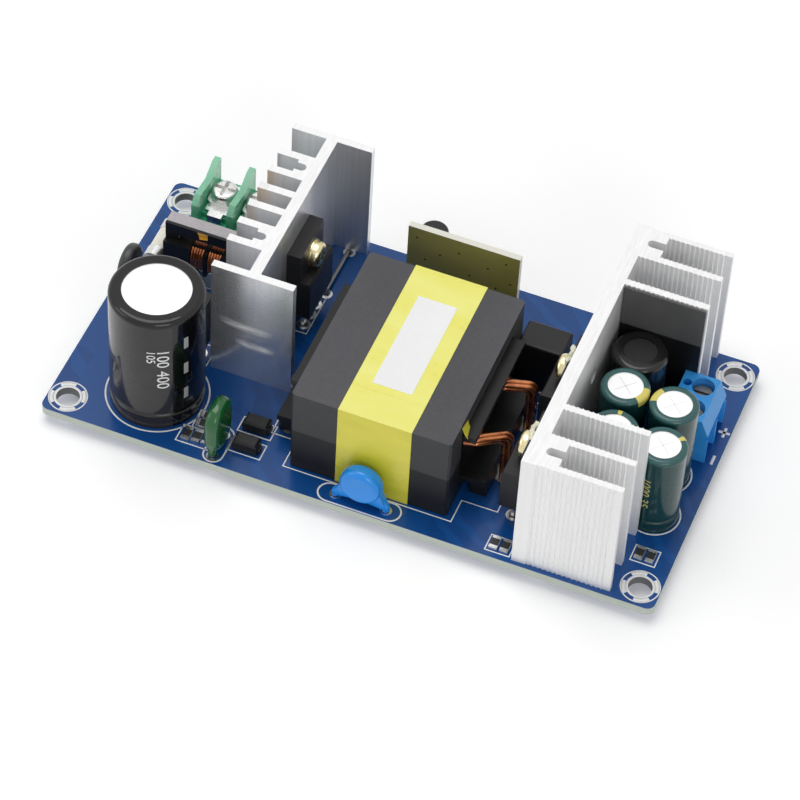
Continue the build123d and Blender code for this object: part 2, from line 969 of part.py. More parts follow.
def ac_screws():
    screws = []
    seat = ac_base_height + ac_contact_thickness + ac_washer_thickness
    for x in ac_screw_xs():
        shank = post(x, ac_screw_y, ac_base_height - ac_screw_reach, seat, ac_screw_radius)
        head = post(x, ac_screw_y, seat, seat + ac_head_height, ac_head_radius)
        head = fillet(head.edges().group_by(Axis.Z)[-1], 0.8)
        top = seat + ac_head_height
        screw = shank + head
        for dx, dy in ((1.9, 0.35), (0.35, 1.9)):
            screw -= block(x - dx, x + dx, ac_screw_y - dy, ac_screw_y + dy, top - 0.9, top)
        screws.append(screw)
    return screws


# Profile of a can, half of its section, with a rounded shoulder and a crimp.
def can_profile(radius, height, edge, crimp_height, crimp_depth):
    shoulder = height - edge
    crimp_half = crimp_depth * 1.2
    low = crimp_height - crimp_half
    high = crimp_height + crimp_half
    lines = Polyline((0, 0), (radius, 0), (radius, low))
    crimp = ThreePointArc((radius, low), (radius - crimp_depth, crimp_height), (radius, high))
    side = Line((radius, high), (radius, shoulder))
    rim = ThreePointArc(
        (radius, shoulder),
        (radius - edge + edge * math.sqrt(0.5), shoulder + edge * math.sqrt(0.5)),
        (radius - edge, height),
    )
    top = Polyline((radius - edge, height), (0, height), (0, 0))
    return make_face(Curve() + [lines, crimp, side, rim, top])


def can(x, y, radius, height, edge, crimp_height, crimp_depth):
    face = can_profile(radius, height, edge, crimp_height, crimp_depth)
    body = revolve(Plane.XZ * face, axis=Axis.Z)
    return Pos(x, y, seat_gap) * body


# Shrunk sleeve: the can's outline grown by the wall, less the can, open on top.
def sleeve(x, y, radius, height, edge, crimp_height, crimp_depth, wall, opening):
    outer = can(x, y, radius, height + wall, edge, crimp_height, crimp_depth)
    inner = can(x, y, radius - wall, height, edge - wall, crimp_height, crimp_depth)
    skin = outer - inner
    return skin - post(x, y, 0, height + 1.0, opening)


def bulk_sleeve():
    height = bulk_height - bulk_sleeve_wall
    return sleeve(bulk_x, bulk_y, bulk_radius, height, bulk_edge, bulk_crimp_height,
                  bulk_crimp_depth, bulk_sleeve_wall, bulk_top_opening)


def bulk_can():
    height = bulk_height - bulk_sleeve_wall
    return can(bulk_x, bulk_y, bulk_radius - bulk_sleeve_wall, height,
               bulk_edge - bulk_sleeve_wall, bulk_crimp_height, bulk_crimp_depth)


# Dipped lozenge with rounded edges, standing across the X axis.
def film_capacitor():
    z = film_stand + film_height / 2
    outline = Plane.YZ * RectangleRounded(film_width, film_height, film_corner)
    body = Pos(film_x - film_thickness / 2, film_y, z) * extrude(outline, amount=film_thickness)
    rims = body.edges().group_by(Axis.X)
    body = fillet(rims[0] + rims[-1], film_edge)
    for x, y in film_spots():
        body += post(x, y, film_stand, z, 0.75)
        body -= post(x, y, film_stand, film_stand + 1.0, thin_lead_radius + lead_fit)
    return body


# Dipped disc whose coating runs down its two spread legs.
def disc_capacitor():
    z = disc_stand + disc_radius
    half = disc_thickness / 2
    disc = rod_y(disc_y - half, disc_y + half, disc_x, z, disc_radius)
    disc = fillet(disc.edges().filter_by(GeomType.CIRCLE), 1.1)
    for x, y in disc_spots():
        side = 1 if x > disc_x else -1
        points = [(x, y, 0.3), (x, y, 1.0), (disc_x + side * disc_radius * 0.55, y, z - 0.5)]
        disc += wire(points, disc_leg_radius, 0.4)
        skirt = Polyline(
            (x + side * 0.2, 1.0),
            (x - side * 0.6, 0.9),
            (disc_x, disc_stand + 0.4),
            (disc_x, z),
            (disc_x + side * disc_radius * 0.88, z),
            close=True,
        )
        web = extrude(Plane.XZ * make_face(skirt), amount=disc_skirt_thickness)
        disc += Pos(0, disc_y + disc_skirt_thickness / 2, 0) * web
        disc -= post(x, y, 0.0, 0.7, thin_lead_radius + lead_fit)
    return disc


def chip_parts():
    chips = []
    for x, y, along in chip_places:
        dx = (chip_length if along else chip_width) / 2
        dy = (chip_width if along else chip_length) / 2
        chips.append(block(x - dx, x + dx, y - dy, y + dy, seat_gap, chip_height))
    return chips


def smd_diodes():
    parts = []
    for y in diode_ys:
        low = block(diode_x - diode_length / 2, diode_x + diode_length / 2, y - diode_width / 2,
                    y + diode_width / 2, 0.15, diode_height)
        body = chamfer(low.edges().group_by(Axis.Z)[-1], 0.35)
        for side in (-1, 1):
            inner = diode_x + side * (diode_length / 2 - 0.4)
            outer = diode_x + side * (diode_length / 2 + 0.35)
            x0 = min(inner, outer)
            x1 = max(inner, outer)
            body += block(x0, x1, y - 0.75, y + 0.75, seat_gap, diode_foot_height)
        parts.append(body)
    return parts


def core_middle():
    return core_left + core_length / 2, core_front + core_width / 2


# Ferrite half: a yoke, two wide outer legs and a round middle post.
def core_half(upper):
    x, y = core_middle()
    half = core_height / 2
    right = core_left + core_length
    rear = core_front + core_width
    part = block(core_left, right, core_front, rear, 0, core_yoke)
    part += block(core_left, right, core_front, core_front + core_leg, 0, half)
    part += block(core_left, right, rear - core_leg, rear, 0, half)
    part += post(x, y, 0, half, core_post_radius)
    outer = part.edges().filter_by(Axis.Z)
    corners = [e for e in outer if abs(e.center().X - x) > core_length / 2 - 0.1
               and abs(e.center().Y - y) > core_width / 2 - 0.1]
    part = chamfer(corners, 0.4)
    if upper:
        part = Pos(0, 2 * y, 0) * Rot(180, 0, 0) * part
        return Pos(0, 0, core_stand + core_height) * part
    return Pos(0, 0, core_stand) * part


def bobbin():
    x, y = core_middle()
    low = core_stand + core_yoke + bobbin_gap
    high = core_stand + core_height - core_yoke - bobbin_gap
    right = core_left + core_length
    inner = core_post_radius + bobbin_gap
    part = post(x, y, low, high, inner + bobbin_wall)
    flange_y = core_width / 2 - core_leg - bobbin_gap
    for z0 in (low, high - bobbin_flange):
        z1 = z0 + bobbin_flange
        reach = bobbin_flange_reach
        part += block(core_left - reach, right + reach, y - flange_y, y + flange_y, z0, z1)
    for side in (-1, 1):
        edge = x + side * core_length / 2
        near = edge + side * bobbin_gap
        far = edge + side * rail_reach
        foot = far - side * rail_width
        x0, x1 = sorted((near, far))
        part += block(x0, x1, y - flange_y, y + flange_y, low, low + bobbin_flange)
        x0, x1 = sorted((foot, far))
        part += block(x0, x1, y - rail_half, y + rail_half, seat_gap, low + bobbin_flange)
    part -= post(x, y, low, high, inner)
    for px, py in transformer_pin_spots():
        part -= post(px, py, seat_gap, transformer_pin_depth, transformer_pin_radius + lead_fit)
    return part


def transformer_pins():
    return straight_leads(transformer_pin_spots(), transformer_pin_depth, transformer_pin_radius)


def winding():
    x, y = core_middle()
    low = core_stand + core_yoke + bobbin_gap + bobbin_flange + 0.02
    high = core_stand + core_height - core_yoke - bobbin_gap - bobbin_flange - 0.02
    inner = core_post_radius + bobbin_gap + bobbin_wall + 0.02
    outer_y = core_width / 2 - core_leg - winding_margin
    outer_x = core_length / 2 - winding_margin
    middle = (low + high) / 2
    outline = RectangleRounded(2 * outer_x, 2 * outer_y, outer_y - 2.5)
    coil = Pos(x, y, low) * extrude(outline, amount=high - low)
    return coil - post(x, y, low, high, inner)


# Band of tape round the two halves of the core.
def tape():
    x, y = core_middle()
    t = tape_thickness
    low = core_stand
    high = core_stand + core_height
    right = tape_left + tape_width
    rear = core_front + core_width
    band = block(tape_left, right, core_front - t, rear + t, low - t, high + t)
    return band - block(tape_left, right, core_front, rear, low, high)


def label():
    x, y = core_middle()
    low = core_stand + core_height + tape_thickness
    middle = tape_left + tape_width / 2
    half = label_width / 2
    rear = label_front + label_length
    return block(middle - half, middle + half, label_front, rear, low, low + label_thickness)


# One strand: out of the coil, over to its hole and down; the outer strands bend wider.
def bundle_strand(index, across, along):
    start_x = core_left + core_length - winding_margin + seat_gap
    y0 = bundle_ys[index] + across
    y1 = bundle_end_ys[index] + across
    far = bundle_end_x + along
    z0 = bundle_height + along
    points = [
        (start_x, y0, z0),
        (start_x + 2.2, y0 + 0.15 * (y1 - y0), z0),
        (far, y1, z0 - 0.6),
        (far, y1, lead_end),
    ]
    return wire(points, strand_radius, strand_bend)


def lead_bundle(index):
    return [bundle_strand(index, across, along) for across, along in bundle_offsets()]


def jumper_wire():
    front = (jumper_x, jumper_front)
    rear = (jumper_x, jumper_rear)
    points = [(*front, lead_end), (*front, jumper_height), (*rear, jumper_height), (*rear, lead_end)]
    return wire(points, jumper_radius, 0.8)


def boxed_capacitor():
    right = box_left + box_length
    body = block(box_left, right, box_front, box_front + box_width, seat_gap, box_height)
    return fillet(body.edges().filter_by(Axis.Z) + body.edges().group_by(Axis.Z)[-1], 0.4)


# Spool shaped core with its coil, as wide as the inside of the sleeve.
def inductor_core():
    radius = inductor_radius - inductor_wall
    top = inductor_height - inductor_wall
    core = post(inductor_x, inductor_y, inductor_stand, top, radius)
    neck = post(inductor_x, inductor_y, inductor_stand + inductor_flange, top - inductor_flange, radius)
    neck -= post(inductor_x, inductor_y, 0, top, inductor_waist)
    return core - neck


def inductor_coil():
    radius = inductor_radius - inductor_wall - 0.05
    low = inductor_stand + inductor_flange + lead_fit
    high = inductor_height - inductor_wall - inductor_flange - 0.02
    coil = post(inductor_x, inductor_y, low, high, radius)
    return coil - post(inductor_x, inductor_y, low, high, inductor_waist + 0.02)


def inductor_sleeve():
    outer = post(inductor_x, inductor_y, 0.3, inductor_height, inductor_radius)
    outer = fillet(outer.edges().group_by(Axis.Z)[-1], 1.0)
    top = inductor_height - inductor_wall
    inner = post(inductor_x, inductor_y, inductor_stand, top, inductor_radius - inductor_wall)
    opening = post(inductor_x, inductor_y, 0.3, inductor_height + 1, inductor_opening)
    return outer - inner - opening


# Black sheet on the rear wall of the bay, narrower beside the output terminal.
def insulating_sheet():
    front = bay_rear - sheet_thickness
    left = secondary_web_right + sheet_edge_gap
    notch = dc_left - sheet_edge_gap
    tip = secondary_fin_tip - sheet_edge_gap
    step = dc_height + sheet_edge_gap
    sheet = block(left, notch, front, bay_rear, sheet_low, step)
    return sheet + block(left, tip, front, bay_rear, step, secondary_height - sheet_top_gap)


def output_can(place):
    height = output_height - output_sleeve_wall
    return can(*place, output_radius - output_sleeve_wall, height,
               output_edge - output_sleeve_wall, output_crimp_height, output_crimp_depth)


def output_sleeve(place):
    height = output_height - output_sleeve_wall
    return sleeve(*place, output_radius, height, output_edge, output_crimp_height,
                  output_crimp_depth, output_sleeve_wall, output_opening)


def dc_pole_ys():
    return [dc_front + dc_pitch * (i + 0.5) for i in range(dc_poles)]


# Moulded housing: sloped front with a ledge, arched wire entries and screw wells.
def dc_housing():
    length = dc_pitch * dc_poles
    ledge_z = dc_height - dc_slope_drop
    profile = Polyline(
        (dc_left, seat_gap),
        (dc_left + dc_foot_reach, seat_gap),
        (dc_left + dc_foot_reach, dc_height - dc_ledge_drop),
        (dc_left + dc_ledge_reach, ledge_z - 0.3),
        (dc_left + dc_ledge_reach, ledge_z),
        (dc_left + dc_top_depth, dc_height),
        (dc_left, dc_height),
        close=True,
    )
    section = Plane.XZ * make_face(profile)
    body = Pos(0, dc_front + length, 0) * extrude(section, amount=length)
    front = dc_left + dc_foot_reach
    for side in (0, 1, 2):
        y = dc_front + side * dc_pitch
        low = max(dc_front, y - 0.45)
        high = min(dc_front + length, y + 0.45)
        body += block(front, front + 0.9, low, high, seat_gap, dc_height - dc_ledge_drop)
    for y in dc_pole_ys():
        top = dc_entry_floor + dc_entry_height
        half = dc_entry_width / 2
        entry = block(front - dc_entry_depth, front, y - half, y + half, dc_entry_floor, top - half)
        entry += rod_x(front - dc_entry_depth, front, y, top - half, half)
        body -= entry
        body -= post(dc_screw_x, y, top - half, dc_height, dc_well_radius)
        low = dc_height - dc_small_hole_depth
        body -= post(dc_small_hole_x, y, low, dc_height, dc_small_hole_radius)
        body -= post(dc_screw_x - 1.0, y, 0, dc_entry_floor, dc_pin_radius + drill_clearance)
    return body


# Folded clamp cage in each entry, on a contact with a solder pin.
def dc_cages():
    cages = []
    for y in dc_pole_ys():
        half = dc_entry_width / 2 - 0.1
        x0 = dc_screw_x - dc_cage_depth / 2
        x1 = dc_screw_x + dc_cage_depth / 2
        low = dc_entry_floor
        high = dc_entry_floor + dc_entry_height - dc_entry_width / 2
        cage = block(x0, x1, y - half, y + half, low, high)
        wall = dc_cage_wall
        cage -= block(x0, x1, y - half + wall, y + half - wall, low + wall, high - wall)
        cage -= post(dc_screw_x, y, high - wall, high, 1.0)
        cage += post(dc_screw_x - 1.0, y, lead_end, low, dc_pin_radius)
        cages.append(cage)
    return cages


def dc_screws():
    screws = []
    for y in dc_pole_ys():
        top = dc_height - dc_head_drop
        neck = dc_entry_floor + dc_entry_height - dc_entry_width / 2
        screw = post(dc_screw_x, y, top - dc_head_height, top, dc_head_radius)
        screw += post(dc_screw_x, y, neck - 1.2, top - dc_head_height, 0.95)
        screw -= block(dc_screw_x - 2, dc_screw_x + 2, y - 0.25, y + 0.25, top - 0.7, top)
        screws.append(screw)
    return screws


def control_board():
    right = control_left + control_length
    rear = control_front + control_thickness
    return block(control_left, right, control_front, rear, control_stand, control_stand + control_height)


# Square pins: soldered to the small board's rear face, then down through the main board.
def control_pins():
    pins = []
    half = control_pin_side / 2
    for x, y in control_pin_spots():
        top = control_stand + control_pin_overlap
        pins.append(block(x - half, x + half, y - half, y + half, lead_end, top))
    return pins


def control_parts():
    rear = control_front + control_thickness
    middle = control_left + control_length / 2
    left = middle + control_part_offset
    right = left + control_part_length
    top = control_part_low + control_part_height
    parts = [block(left, right, rear, rear + control_part_depth, control_part_low, top)]
    for dx, z in control_chips:
        half = chip_length / 2
        parts.append(block(middle + dx - half, middle + dx + half, rear, rear + chip_height,
                           z - chip_width / 2, z + chip_width / 2))
    return parts


def aux_capacitor():
    return can(aux_x, aux_y, aux_radius, aux_height, 0.5, 1.6, 0.25)


def optocoupler():
    dx = opto_length / 2
    dy = opto_width / 2
    body = block(opto_x - dx, opto_x + dx, opto_y - dy, opto_y + dy, opto_stand, opto_stand + opto_height)
    return chamfer(body.edges().group_by(Axis.Z)[-1], 0.35)


def opto_legs():
    legs = []
    half = opto_leg_side / 2
    for x, y in opto_spots():
        legs.append(block(x - half, x + half, y - half, y + half, lead_end, opto_stand + opto_height / 2))
    return legs


def input_leads():
    bridge = straight_leads(bridge_spots(), bridge_stand, thick_lead_radius)
    pins = straight_leads(choke_pin_spots(), choke_pin_depth, choke_pin_radius)
    ntc = straight_leads(thermistor_spots(), thermistor_stand + 1.0, thin_lead_radius)
    return bridge + pins + fuse_leads() + ntc


def capacitor_leads():
    leads = straight_leads(bulk_spots(), seat_gap, thick_lead_radius)
    leads += straight_leads(film_spots(), film_stand + 1.0, thin_lead_radius)
    leads += straight_leads(disc_spots(), 0.7, thin_lead_radius)
    leads += straight_leads(output_spots(), seat_gap, thin_lead_radius)
    leads += straight_leads(aux_spots(), seat_gap, thin_lead_radius)
    leads += straight_leads(box_spots(), seat_gap, thin_lead_radius)
    return leads


primary_face = primary_web_left + primary_web_thickness
pad_face = secondary_web_left - pad_thickness
coil_spans = choke_coil_spans()
front_y, rear_y = rectifier_ys

nodes = {
    "circuit_board": circuit_board(),
    "solder_joints": solder_joints(),
    "heatsink_screws": sink_screws(),
    "primary_heatsink": primary_heatsink(),
    "secondary_heatsink": secondary_heatsink(),
    "primary_transistor": power_package(primary_face, transistor_y, 1, moulded_tab_thickness),
    "transistor_legs": package_legs(package_spots()[:3]),
    "transistor_screw": clamp_screw(primary_face, transistor_y, 1, moulded_tab_thickness),
    "front_rectifier": power_package(pad_face, front_y, -1, metal_tab_thickness),
    "rear_rectifier": power_package(pad_face, rear_y, -1, metal_tab_thickness),
    "rectifier_legs": package_legs(package_spots()[3:]),
    "rectifier_screws": [clamp_screw(pad_face, y, -1, metal_tab_thickness) for y in rectifier_ys],
    "insulating_pads": insulating_pads(),
    "bridge_rectifier": bridge_rectifier(),
    "input_leads": input_leads(),
    "choke_core": choke_ring(0),
    "choke_bobbin": choke_bobbin(),
    "choke_coil_left": choke_coil(coil_spans[0]),
    "choke_coil_right": choke_coil(coil_spans[1]),
    "fuse_body": fuse_body(),
    "fuse_caps": fuse_caps(),
    "thermistor": thermistor(),
    "mains_terminal_housing": ac_housing(),
    "mains_terminal_contacts": ac_contacts(),
    "mains_terminal_washers": ac_washers(),
    "mains_terminal_screws": ac_screws(),
    "bulk_capacitor_sleeve": bulk_sleeve(),
    "bulk_capacitor_can": bulk_can(),
    "film_capacitor": film_capacitor(),
    "disc_capacitor": disc_capacitor(),
    "boxed_capacitor": boxed_capacitor(),
    "capacitor_leads": capacitor_leads(),
    "chip_parts": chip_parts(),
    "chip_diodes": smd_diodes(),
    "transformer_core_bottom": core_half(False),
    "transformer_core_top": core_half(True),
    "transformer_bobbin": bobbin(),
    "transformer_winding": winding(),
    "transformer_tape": tape(),
    "transformer_label": label(),
    "transformer_pins": transformer_pins(),
    "front_lead_bundle": lead_bundle(0),
    "rear_lead_bundle": lead_bundle(1),
    "jumper_wire": jumper_wire(),
    "output_inductor_core": inductor_core(),
    "output_inductor_coil": inductor_coil(),
    "output_inductor_sleeve": inductor_sleeve(),
    "output_inductor_leads": straight_leads(inductor_spots(), inductor_stand, inductor_lead_radius),
    "insulating_sheet": insulating_sheet(),
    "output_terminal_housing": dc_housing(),
    "output_terminal_cages": dc_cages(),
    "output_terminal_screws": dc_screws(),
    "control_board": control_board(),
    "control_board_pins": control_pins(),
    "control_board_parts": control_parts(),
    "small_capacitor": aux_capacitor(),
    "optocoupler": [optocoupler()] + opto_legs(),
    "output_capacitor_cans": [output_can(place) for place in output_places],
    "output_capacitor_sleeves": [output_sleeve(place) for place in output_places],
}

os.makedirs("parts", exist_ok=True)
for name, shape in nodes.items():
    solids = shape if isinstance(shape, list) else [shape]
    placed = [Pos(0, 0, lift) * solid for solid in solids]
    part = placed[0] if len(placed) == 1 else Compound(children=placed)
    export_step(part, f"parts/{name}.step")
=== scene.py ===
import bpy
import bmesh
import math
from mathutils import Euler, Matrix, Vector


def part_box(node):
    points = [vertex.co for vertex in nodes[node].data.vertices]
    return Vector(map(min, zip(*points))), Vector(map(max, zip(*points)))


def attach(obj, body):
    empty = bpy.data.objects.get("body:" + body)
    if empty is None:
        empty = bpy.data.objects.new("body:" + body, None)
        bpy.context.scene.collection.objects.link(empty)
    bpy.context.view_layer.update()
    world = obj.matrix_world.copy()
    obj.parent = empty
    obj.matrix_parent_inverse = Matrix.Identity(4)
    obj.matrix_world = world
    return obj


# Looks for the open frame power supply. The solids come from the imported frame;
# this script gives them their finishes and adds print, pads and small trim.

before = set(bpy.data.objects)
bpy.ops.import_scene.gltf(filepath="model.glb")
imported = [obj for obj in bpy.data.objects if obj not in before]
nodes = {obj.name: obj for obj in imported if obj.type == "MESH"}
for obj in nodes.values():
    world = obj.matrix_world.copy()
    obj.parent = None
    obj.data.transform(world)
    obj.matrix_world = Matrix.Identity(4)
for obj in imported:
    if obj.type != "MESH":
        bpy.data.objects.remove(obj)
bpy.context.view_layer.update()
mm = 0.001
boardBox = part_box("circuit_board")
boardTop = boardBox[1][2]
boardUnder = boardBox[0][2]
print("frame loaded:", len(nodes), "nodes")


# One output of a node, with arithmetic that adds Math nodes.
class Link:
    def __init__(self, sheet, out):
        self.sheet = sheet
        self.out = out

    def math(self, operation, *values):
        return self.sheet.node("ShaderNodeMath", {"operation": operation}, dict(enumerate(values)))

    def other(self, index):
        return Link(self.sheet, self.out.node.outputs[index])

    def __add__(self, value):
        return self.math("ADD", self, value)

    def __radd__(self, value):
        return self.math("ADD", value, self)

    def __sub__(self, value):
        return self.math("SUBTRACT", self, value)

    def __rsub__(self, value):
        return self.math("SUBTRACT", value, self)

    def __mul__(self, value):
        return self.math("MULTIPLY", self, value)

    def __rmul__(self, value):
        return self.math("MULTIPLY", value, self)

    def __gt__(self, value):
        return self.math("GREATER_THAN", self, value)

    def __lt__(self, value):
        return self.math("LESS_THAN", self, value)

    def __mod__(self, value):
        return self.math("FLOORED_MODULO", self, value)

    def __abs__(self):
        return self.math("ABSOLUTE", self)

    def within(self, low, high):
        return (self > low) * (self < high)

    def either(self, value):
        return self.math("MAXIMUM", self, value)

    def root(self):
        return self.math("SQRT", self)

    def degrees(self, across):
        return self.math("ARCTAN2", self, across) * (180 / math.pi)


# A node tree of either kind; node() adds any node and returns its chosen output.
class Sheet:
    def __init__(self, tree):
        self.tree = tree

    def node(self, kind, settings=None, values=None, pick=0):
        made = self.tree.nodes.new(kind)
        for key, value in (settings or {}).items():
            setattr(made, key, value)
        for key, value in (values or {}).items():
            self.feed(made.inputs[key], value)
        return Link(self, made.outputs[pick])

    def feed(self, target, value):
        if isinstance(value, Link):
            self.tree.links.new(value.out, target)
        else:
            target.default_value = value


noiseMiddle = (0.3, 0.7)  # where most of a noise's values lie
levelFrom = 0.7  # how far up a normal points on a level face


# A material on Object coordinates; fixed values go on the shader's own sockets.
class Finish(Sheet):
    def __init__(self, name, fixed):
        self.material = bpy.data.materials.new(name)
        self.material.use_nodes = True
        super().__init__(self.material.node_tree)
        self.shader = self.tree.nodes["Principled BSDF"]
        for key, value in fixed.items():
            self.shader.inputs[key].default_value = value
        self.place = self.node("ShaderNodeTexCoord", pick=3)

    def set(self, key, value):
        self.feed(self.shader.inputs[key], value)

    def split(self, vector):
        apart = self.node("ShaderNodeSeparateXYZ", values={0: vector})
        return apart, apart.other(1), apart.other(2)

    def axes(self):
        return self.split(self.place)

    def facing(self):
        return self.split(self.node("ShaderNodeNewGeometry", pick=1))

    def level(self):
        return self.facing()[2] > levelFrom

    # Scales are features per metre, one number or one for each axis.
    def stretched(self, scale):
        sizes = scale if isinstance(scale, tuple) else (scale, scale, scale)
        return self.node("ShaderNodeMapping", values={"Vector": self.place, "Scale": sizes})

    def noise(self, scale, detail=3.0, rough=0.5):
        return self.node("ShaderNodeTexNoise", values={
            "Vector": self.stretched(scale), "Scale": 1.0, "Detail": detail, "Roughness": rough})

    def cells(self, scale, pick=0, distance="EUCLIDEAN"):
        return self.node("ShaderNodeTexVoronoi", {"distance": distance}, {
            "Vector": self.stretched(scale), "Scale": 1.0}, pick)

    def blend(self, factor, first, second):
        return self.node("ShaderNodeMix", {"data_type": "RGBA"}, {0: factor, 6: first, 7: second}, 2)

    def spread(self, value, low, high):
        return self.node("ShaderNodeMapRange", values={
            "Value": value, "From Min": low[0], "From Max": low[1],
            "To Min": high[0], "To Max": high[1]})

    # Two colours mixed by the middle part of a pattern's range.
    def mottle(self, pattern, first, second, reach=0.15):
        share = self.spread(pattern, (0.5 - reach, 0.5 + reach), (0, 1))
        return self.blend(share, first, second)

    def rough(self, pattern, low, high):
        self.set("Roughness", self.spread(pattern, noiseMiddle, (low, high)))

    def bump(self, height, strength, distance):
        self.set("Normal", self.node("ShaderNodeBump", values={
            "Height": height, "Strength": strength, "Distance": distance}))


def grey(value, tint=(1, 1, 1)):
    return (value * tint[0], value * tint[1], value * tint[2], 1)


def worn(color, share):
    return tuple(c * (1 - share) for c in color[:3]) + (1,)


boardLook = {
    "mask": (0.003, 0.056, 0.230, 1),
    "pour": (0.005, 0.086, 0.325, 1),
    "edge": (0.50, 0.56, 0.50, 1),
    "core": (0.66, 0.71, 0.64, 1),
    # Dark grey for the corner hole walls: painted shade inside the holes.
    "holeShade": (0.20, 0.20, 0.20, 1),
    "patchesPerMetre": 62,
    "patchStretch": 1.3,
    "pourAbove": 0.42,
    "pourShare": 0.35,
    "trackScale": 110.0,
    "trackWander": 5.0,
    "trackAbove": 0.7,
    "trackShare": 0.5,
    "clouds": 26,
    "cloudShare": 0.2,
    "layersPerMetre": 4200,
    "shine": (0.22, 0.3),
    "edgeRoughness": 0.6,
    "holeAt": (0.0515, 0.025),
    "holeReach": 0.0022,
}


# Solder mask over copper pours and tracks, layered edges, and plated corner holes whose walls are
# painted dark grey as shade inside the holes.
def boardFinish():
    look = boardLook
    made = Finish("solderMask", {
        "Coat Weight": 0.25, "Coat Roughness": 0.1, "Specular IOR Level": 0.3})
    x, y = made.axes()[:2]
    top = abs(made.facing()[2]) > 0.5
    size = (look["patchesPerMetre"], look["patchesPerMetre"] * look["patchStretch"], 1)
    patch = made.node("ShaderNodeSeparateColor", values={0: made.cells(size, 1, "CHEBYCHEV")})
    pour = patch > look["pourAbove"]
    wave = made.node("ShaderNodeTexWave", {"wave_type": "BANDS", "bands_direction": "DIAGONAL"}, {
        "Vector": made.stretched((1, 1, 0)), "Scale": look["trackScale"],
        "Distortion": look["trackWander"], "Detail": 1.0}, 1)
    tracks = (wave > look["trackAbove"]) * look["trackShare"]
    cloud = made.noise(look["clouds"], 2)
    tone = made.spread(cloud, noiseMiddle, (0.0, look["cloudShare"]))
    copper = pour * look["pourShare"] + tracks * (1 - pour)
    face = made.blend(copper + tone, look["mask"], look["pour"])
    wall = made.blend(made.noise((30, 30, look["layersPerMetre"]), 2), look["edge"], look["core"])
    # Within the corner holes the wall colour gives way to dark grey, painted shade.
    dx = abs(x) - look["holeAt"][0]
    dy = abs(y) - look["holeAt"][1]
    inHole = (dx * dx + dy * dy).root() < look["holeReach"]
    wall = made.blend(inHole, wall, look["holeShade"])
    made.set("Base Color", made.blend(top, wall, face))
    shine = made.spread(cloud, noiseMiddle, look["shine"])
    made.set("Roughness", shine * top + (1 - top) * look["edgeRoughness"])
    made.bump(pour * 0.6 + tracks, 0.2, 0.00003)
    return made.material


inkLook = {"worn": grey(0.88), "fresh": grey(0.97), "specks": 900}


def printFinish():
    made = Finish("whiteInk", {"Roughness": 0.5})
    wear = made.noise(inkLook["specks"], 4)
    made.set("Base Color", made.mottle(wear, inkLook["worn"], inkLook["fresh"]))
    made.bump(wear, 0.2, 0.00002)
    return made.material


metalLook = {"streaks": (900, 900, 60), "smudges": 45}


# Small metal parts: fine lines along Z and soft smudges.
def metalFinish(name, color, rough, grain, metallic=1.0, wear=0.12):
    made = Finish(name, {"Metallic": metallic})
    lines = made.noise(metalLook["streaks"], 4, 0.6)
    smudge = made.noise(metalLook["smudges"], 3, 0.6)
    made.set("Base Color", made.mottle(lines * 0.6 + smudge * 0.4, worn(color, wear), color))
    made.rough(smudge * 0.5 + lines * 0.5, rough * 0.75, rough * 1.3)
    made.bump(lines, grain, 0.00003)
    return made.material


sinkLook = {
    "fineStreaks": (1400, 1400, 9),
    "broadStreaks": (160, 160, 6),
    "haze": 38,
    "sawCuts": (2600, 300, 300),
    "rubs": (260, 260, 2600),
    "plain": (0.86, 0.87, 0.89, 1),
    "ribbed": (0.93, 0.93, 0.93, 1),
    "sawn": (0.86, 0.86, 0.86, 1),
    "cut": (0.97, 0.97, 0.97, 1),
    "endMetal": 0.25,
    "endRoughness": 0.55,
    "stain": (0.90, 0.56, 0.20, 1),
    "stains": ((-32.4, 12.9, 24.6), (-32.4, 8.6, 24.2)),
    "stainFrom": 0.0004,
    "stainReach": 0.0036,
    "stainDepth": 0.9,
    "stainRagged": 0.002,
    "stainTall": 0.4,
    "plateFront": -0.0085,
    "finsEnd": -0.0240,
    "plateMetal": 0.8,
    "platePolish": 0.3,
    "smudges": ((-25.6, 12.6, -0.05, 5.2), (-24.0, 8.5, -0.04, 3.9)),
    "smudgeBend": 22,
    "smudgeWidth": (0.0001, 0.0011),
}


# Round ragged spots; each is (x, y, height above the board) in millimetres.
def stainMask(made, x, y, z):
    look = sinkLook
    marks = None
    for sx, sy, sz in look["stains"]:
        dx = x - sx * mm
        dy = y - sy * mm
        dz = z - boardTop - sz * mm
        away = (dx * dx + dy * dy + dz * dz * look["stainTall"]).root()
        ragged = away + (made.noise(420, 3) - 0.5) * look["stainRagged"]
        spot = made.spread(ragged, (look["stainFrom"], look["stainReach"]), (look["stainDepth"], 0.0))
        marks = spot if marks is None else marks.either(spot)
    return marks


# A rubbed streak on the front plate: (x, height, slope, reach), bent and faded at its ends.
def smudgeMask(made, x, z, smudge):
    sx, sz, slope, reach = smudge
    dx = x - sx * mm
    height = z - boardTop - sz * mm - dx * slope - dx * dx * sinkLook["smudgeBend"]
    streak = made.spread(abs(height), sinkLook["smudgeWidth"], (1.0, 0.0))
    return streak * made.spread(abs(dx), (reach * mm * 0.5, reach * mm), (1.0, 0.0))


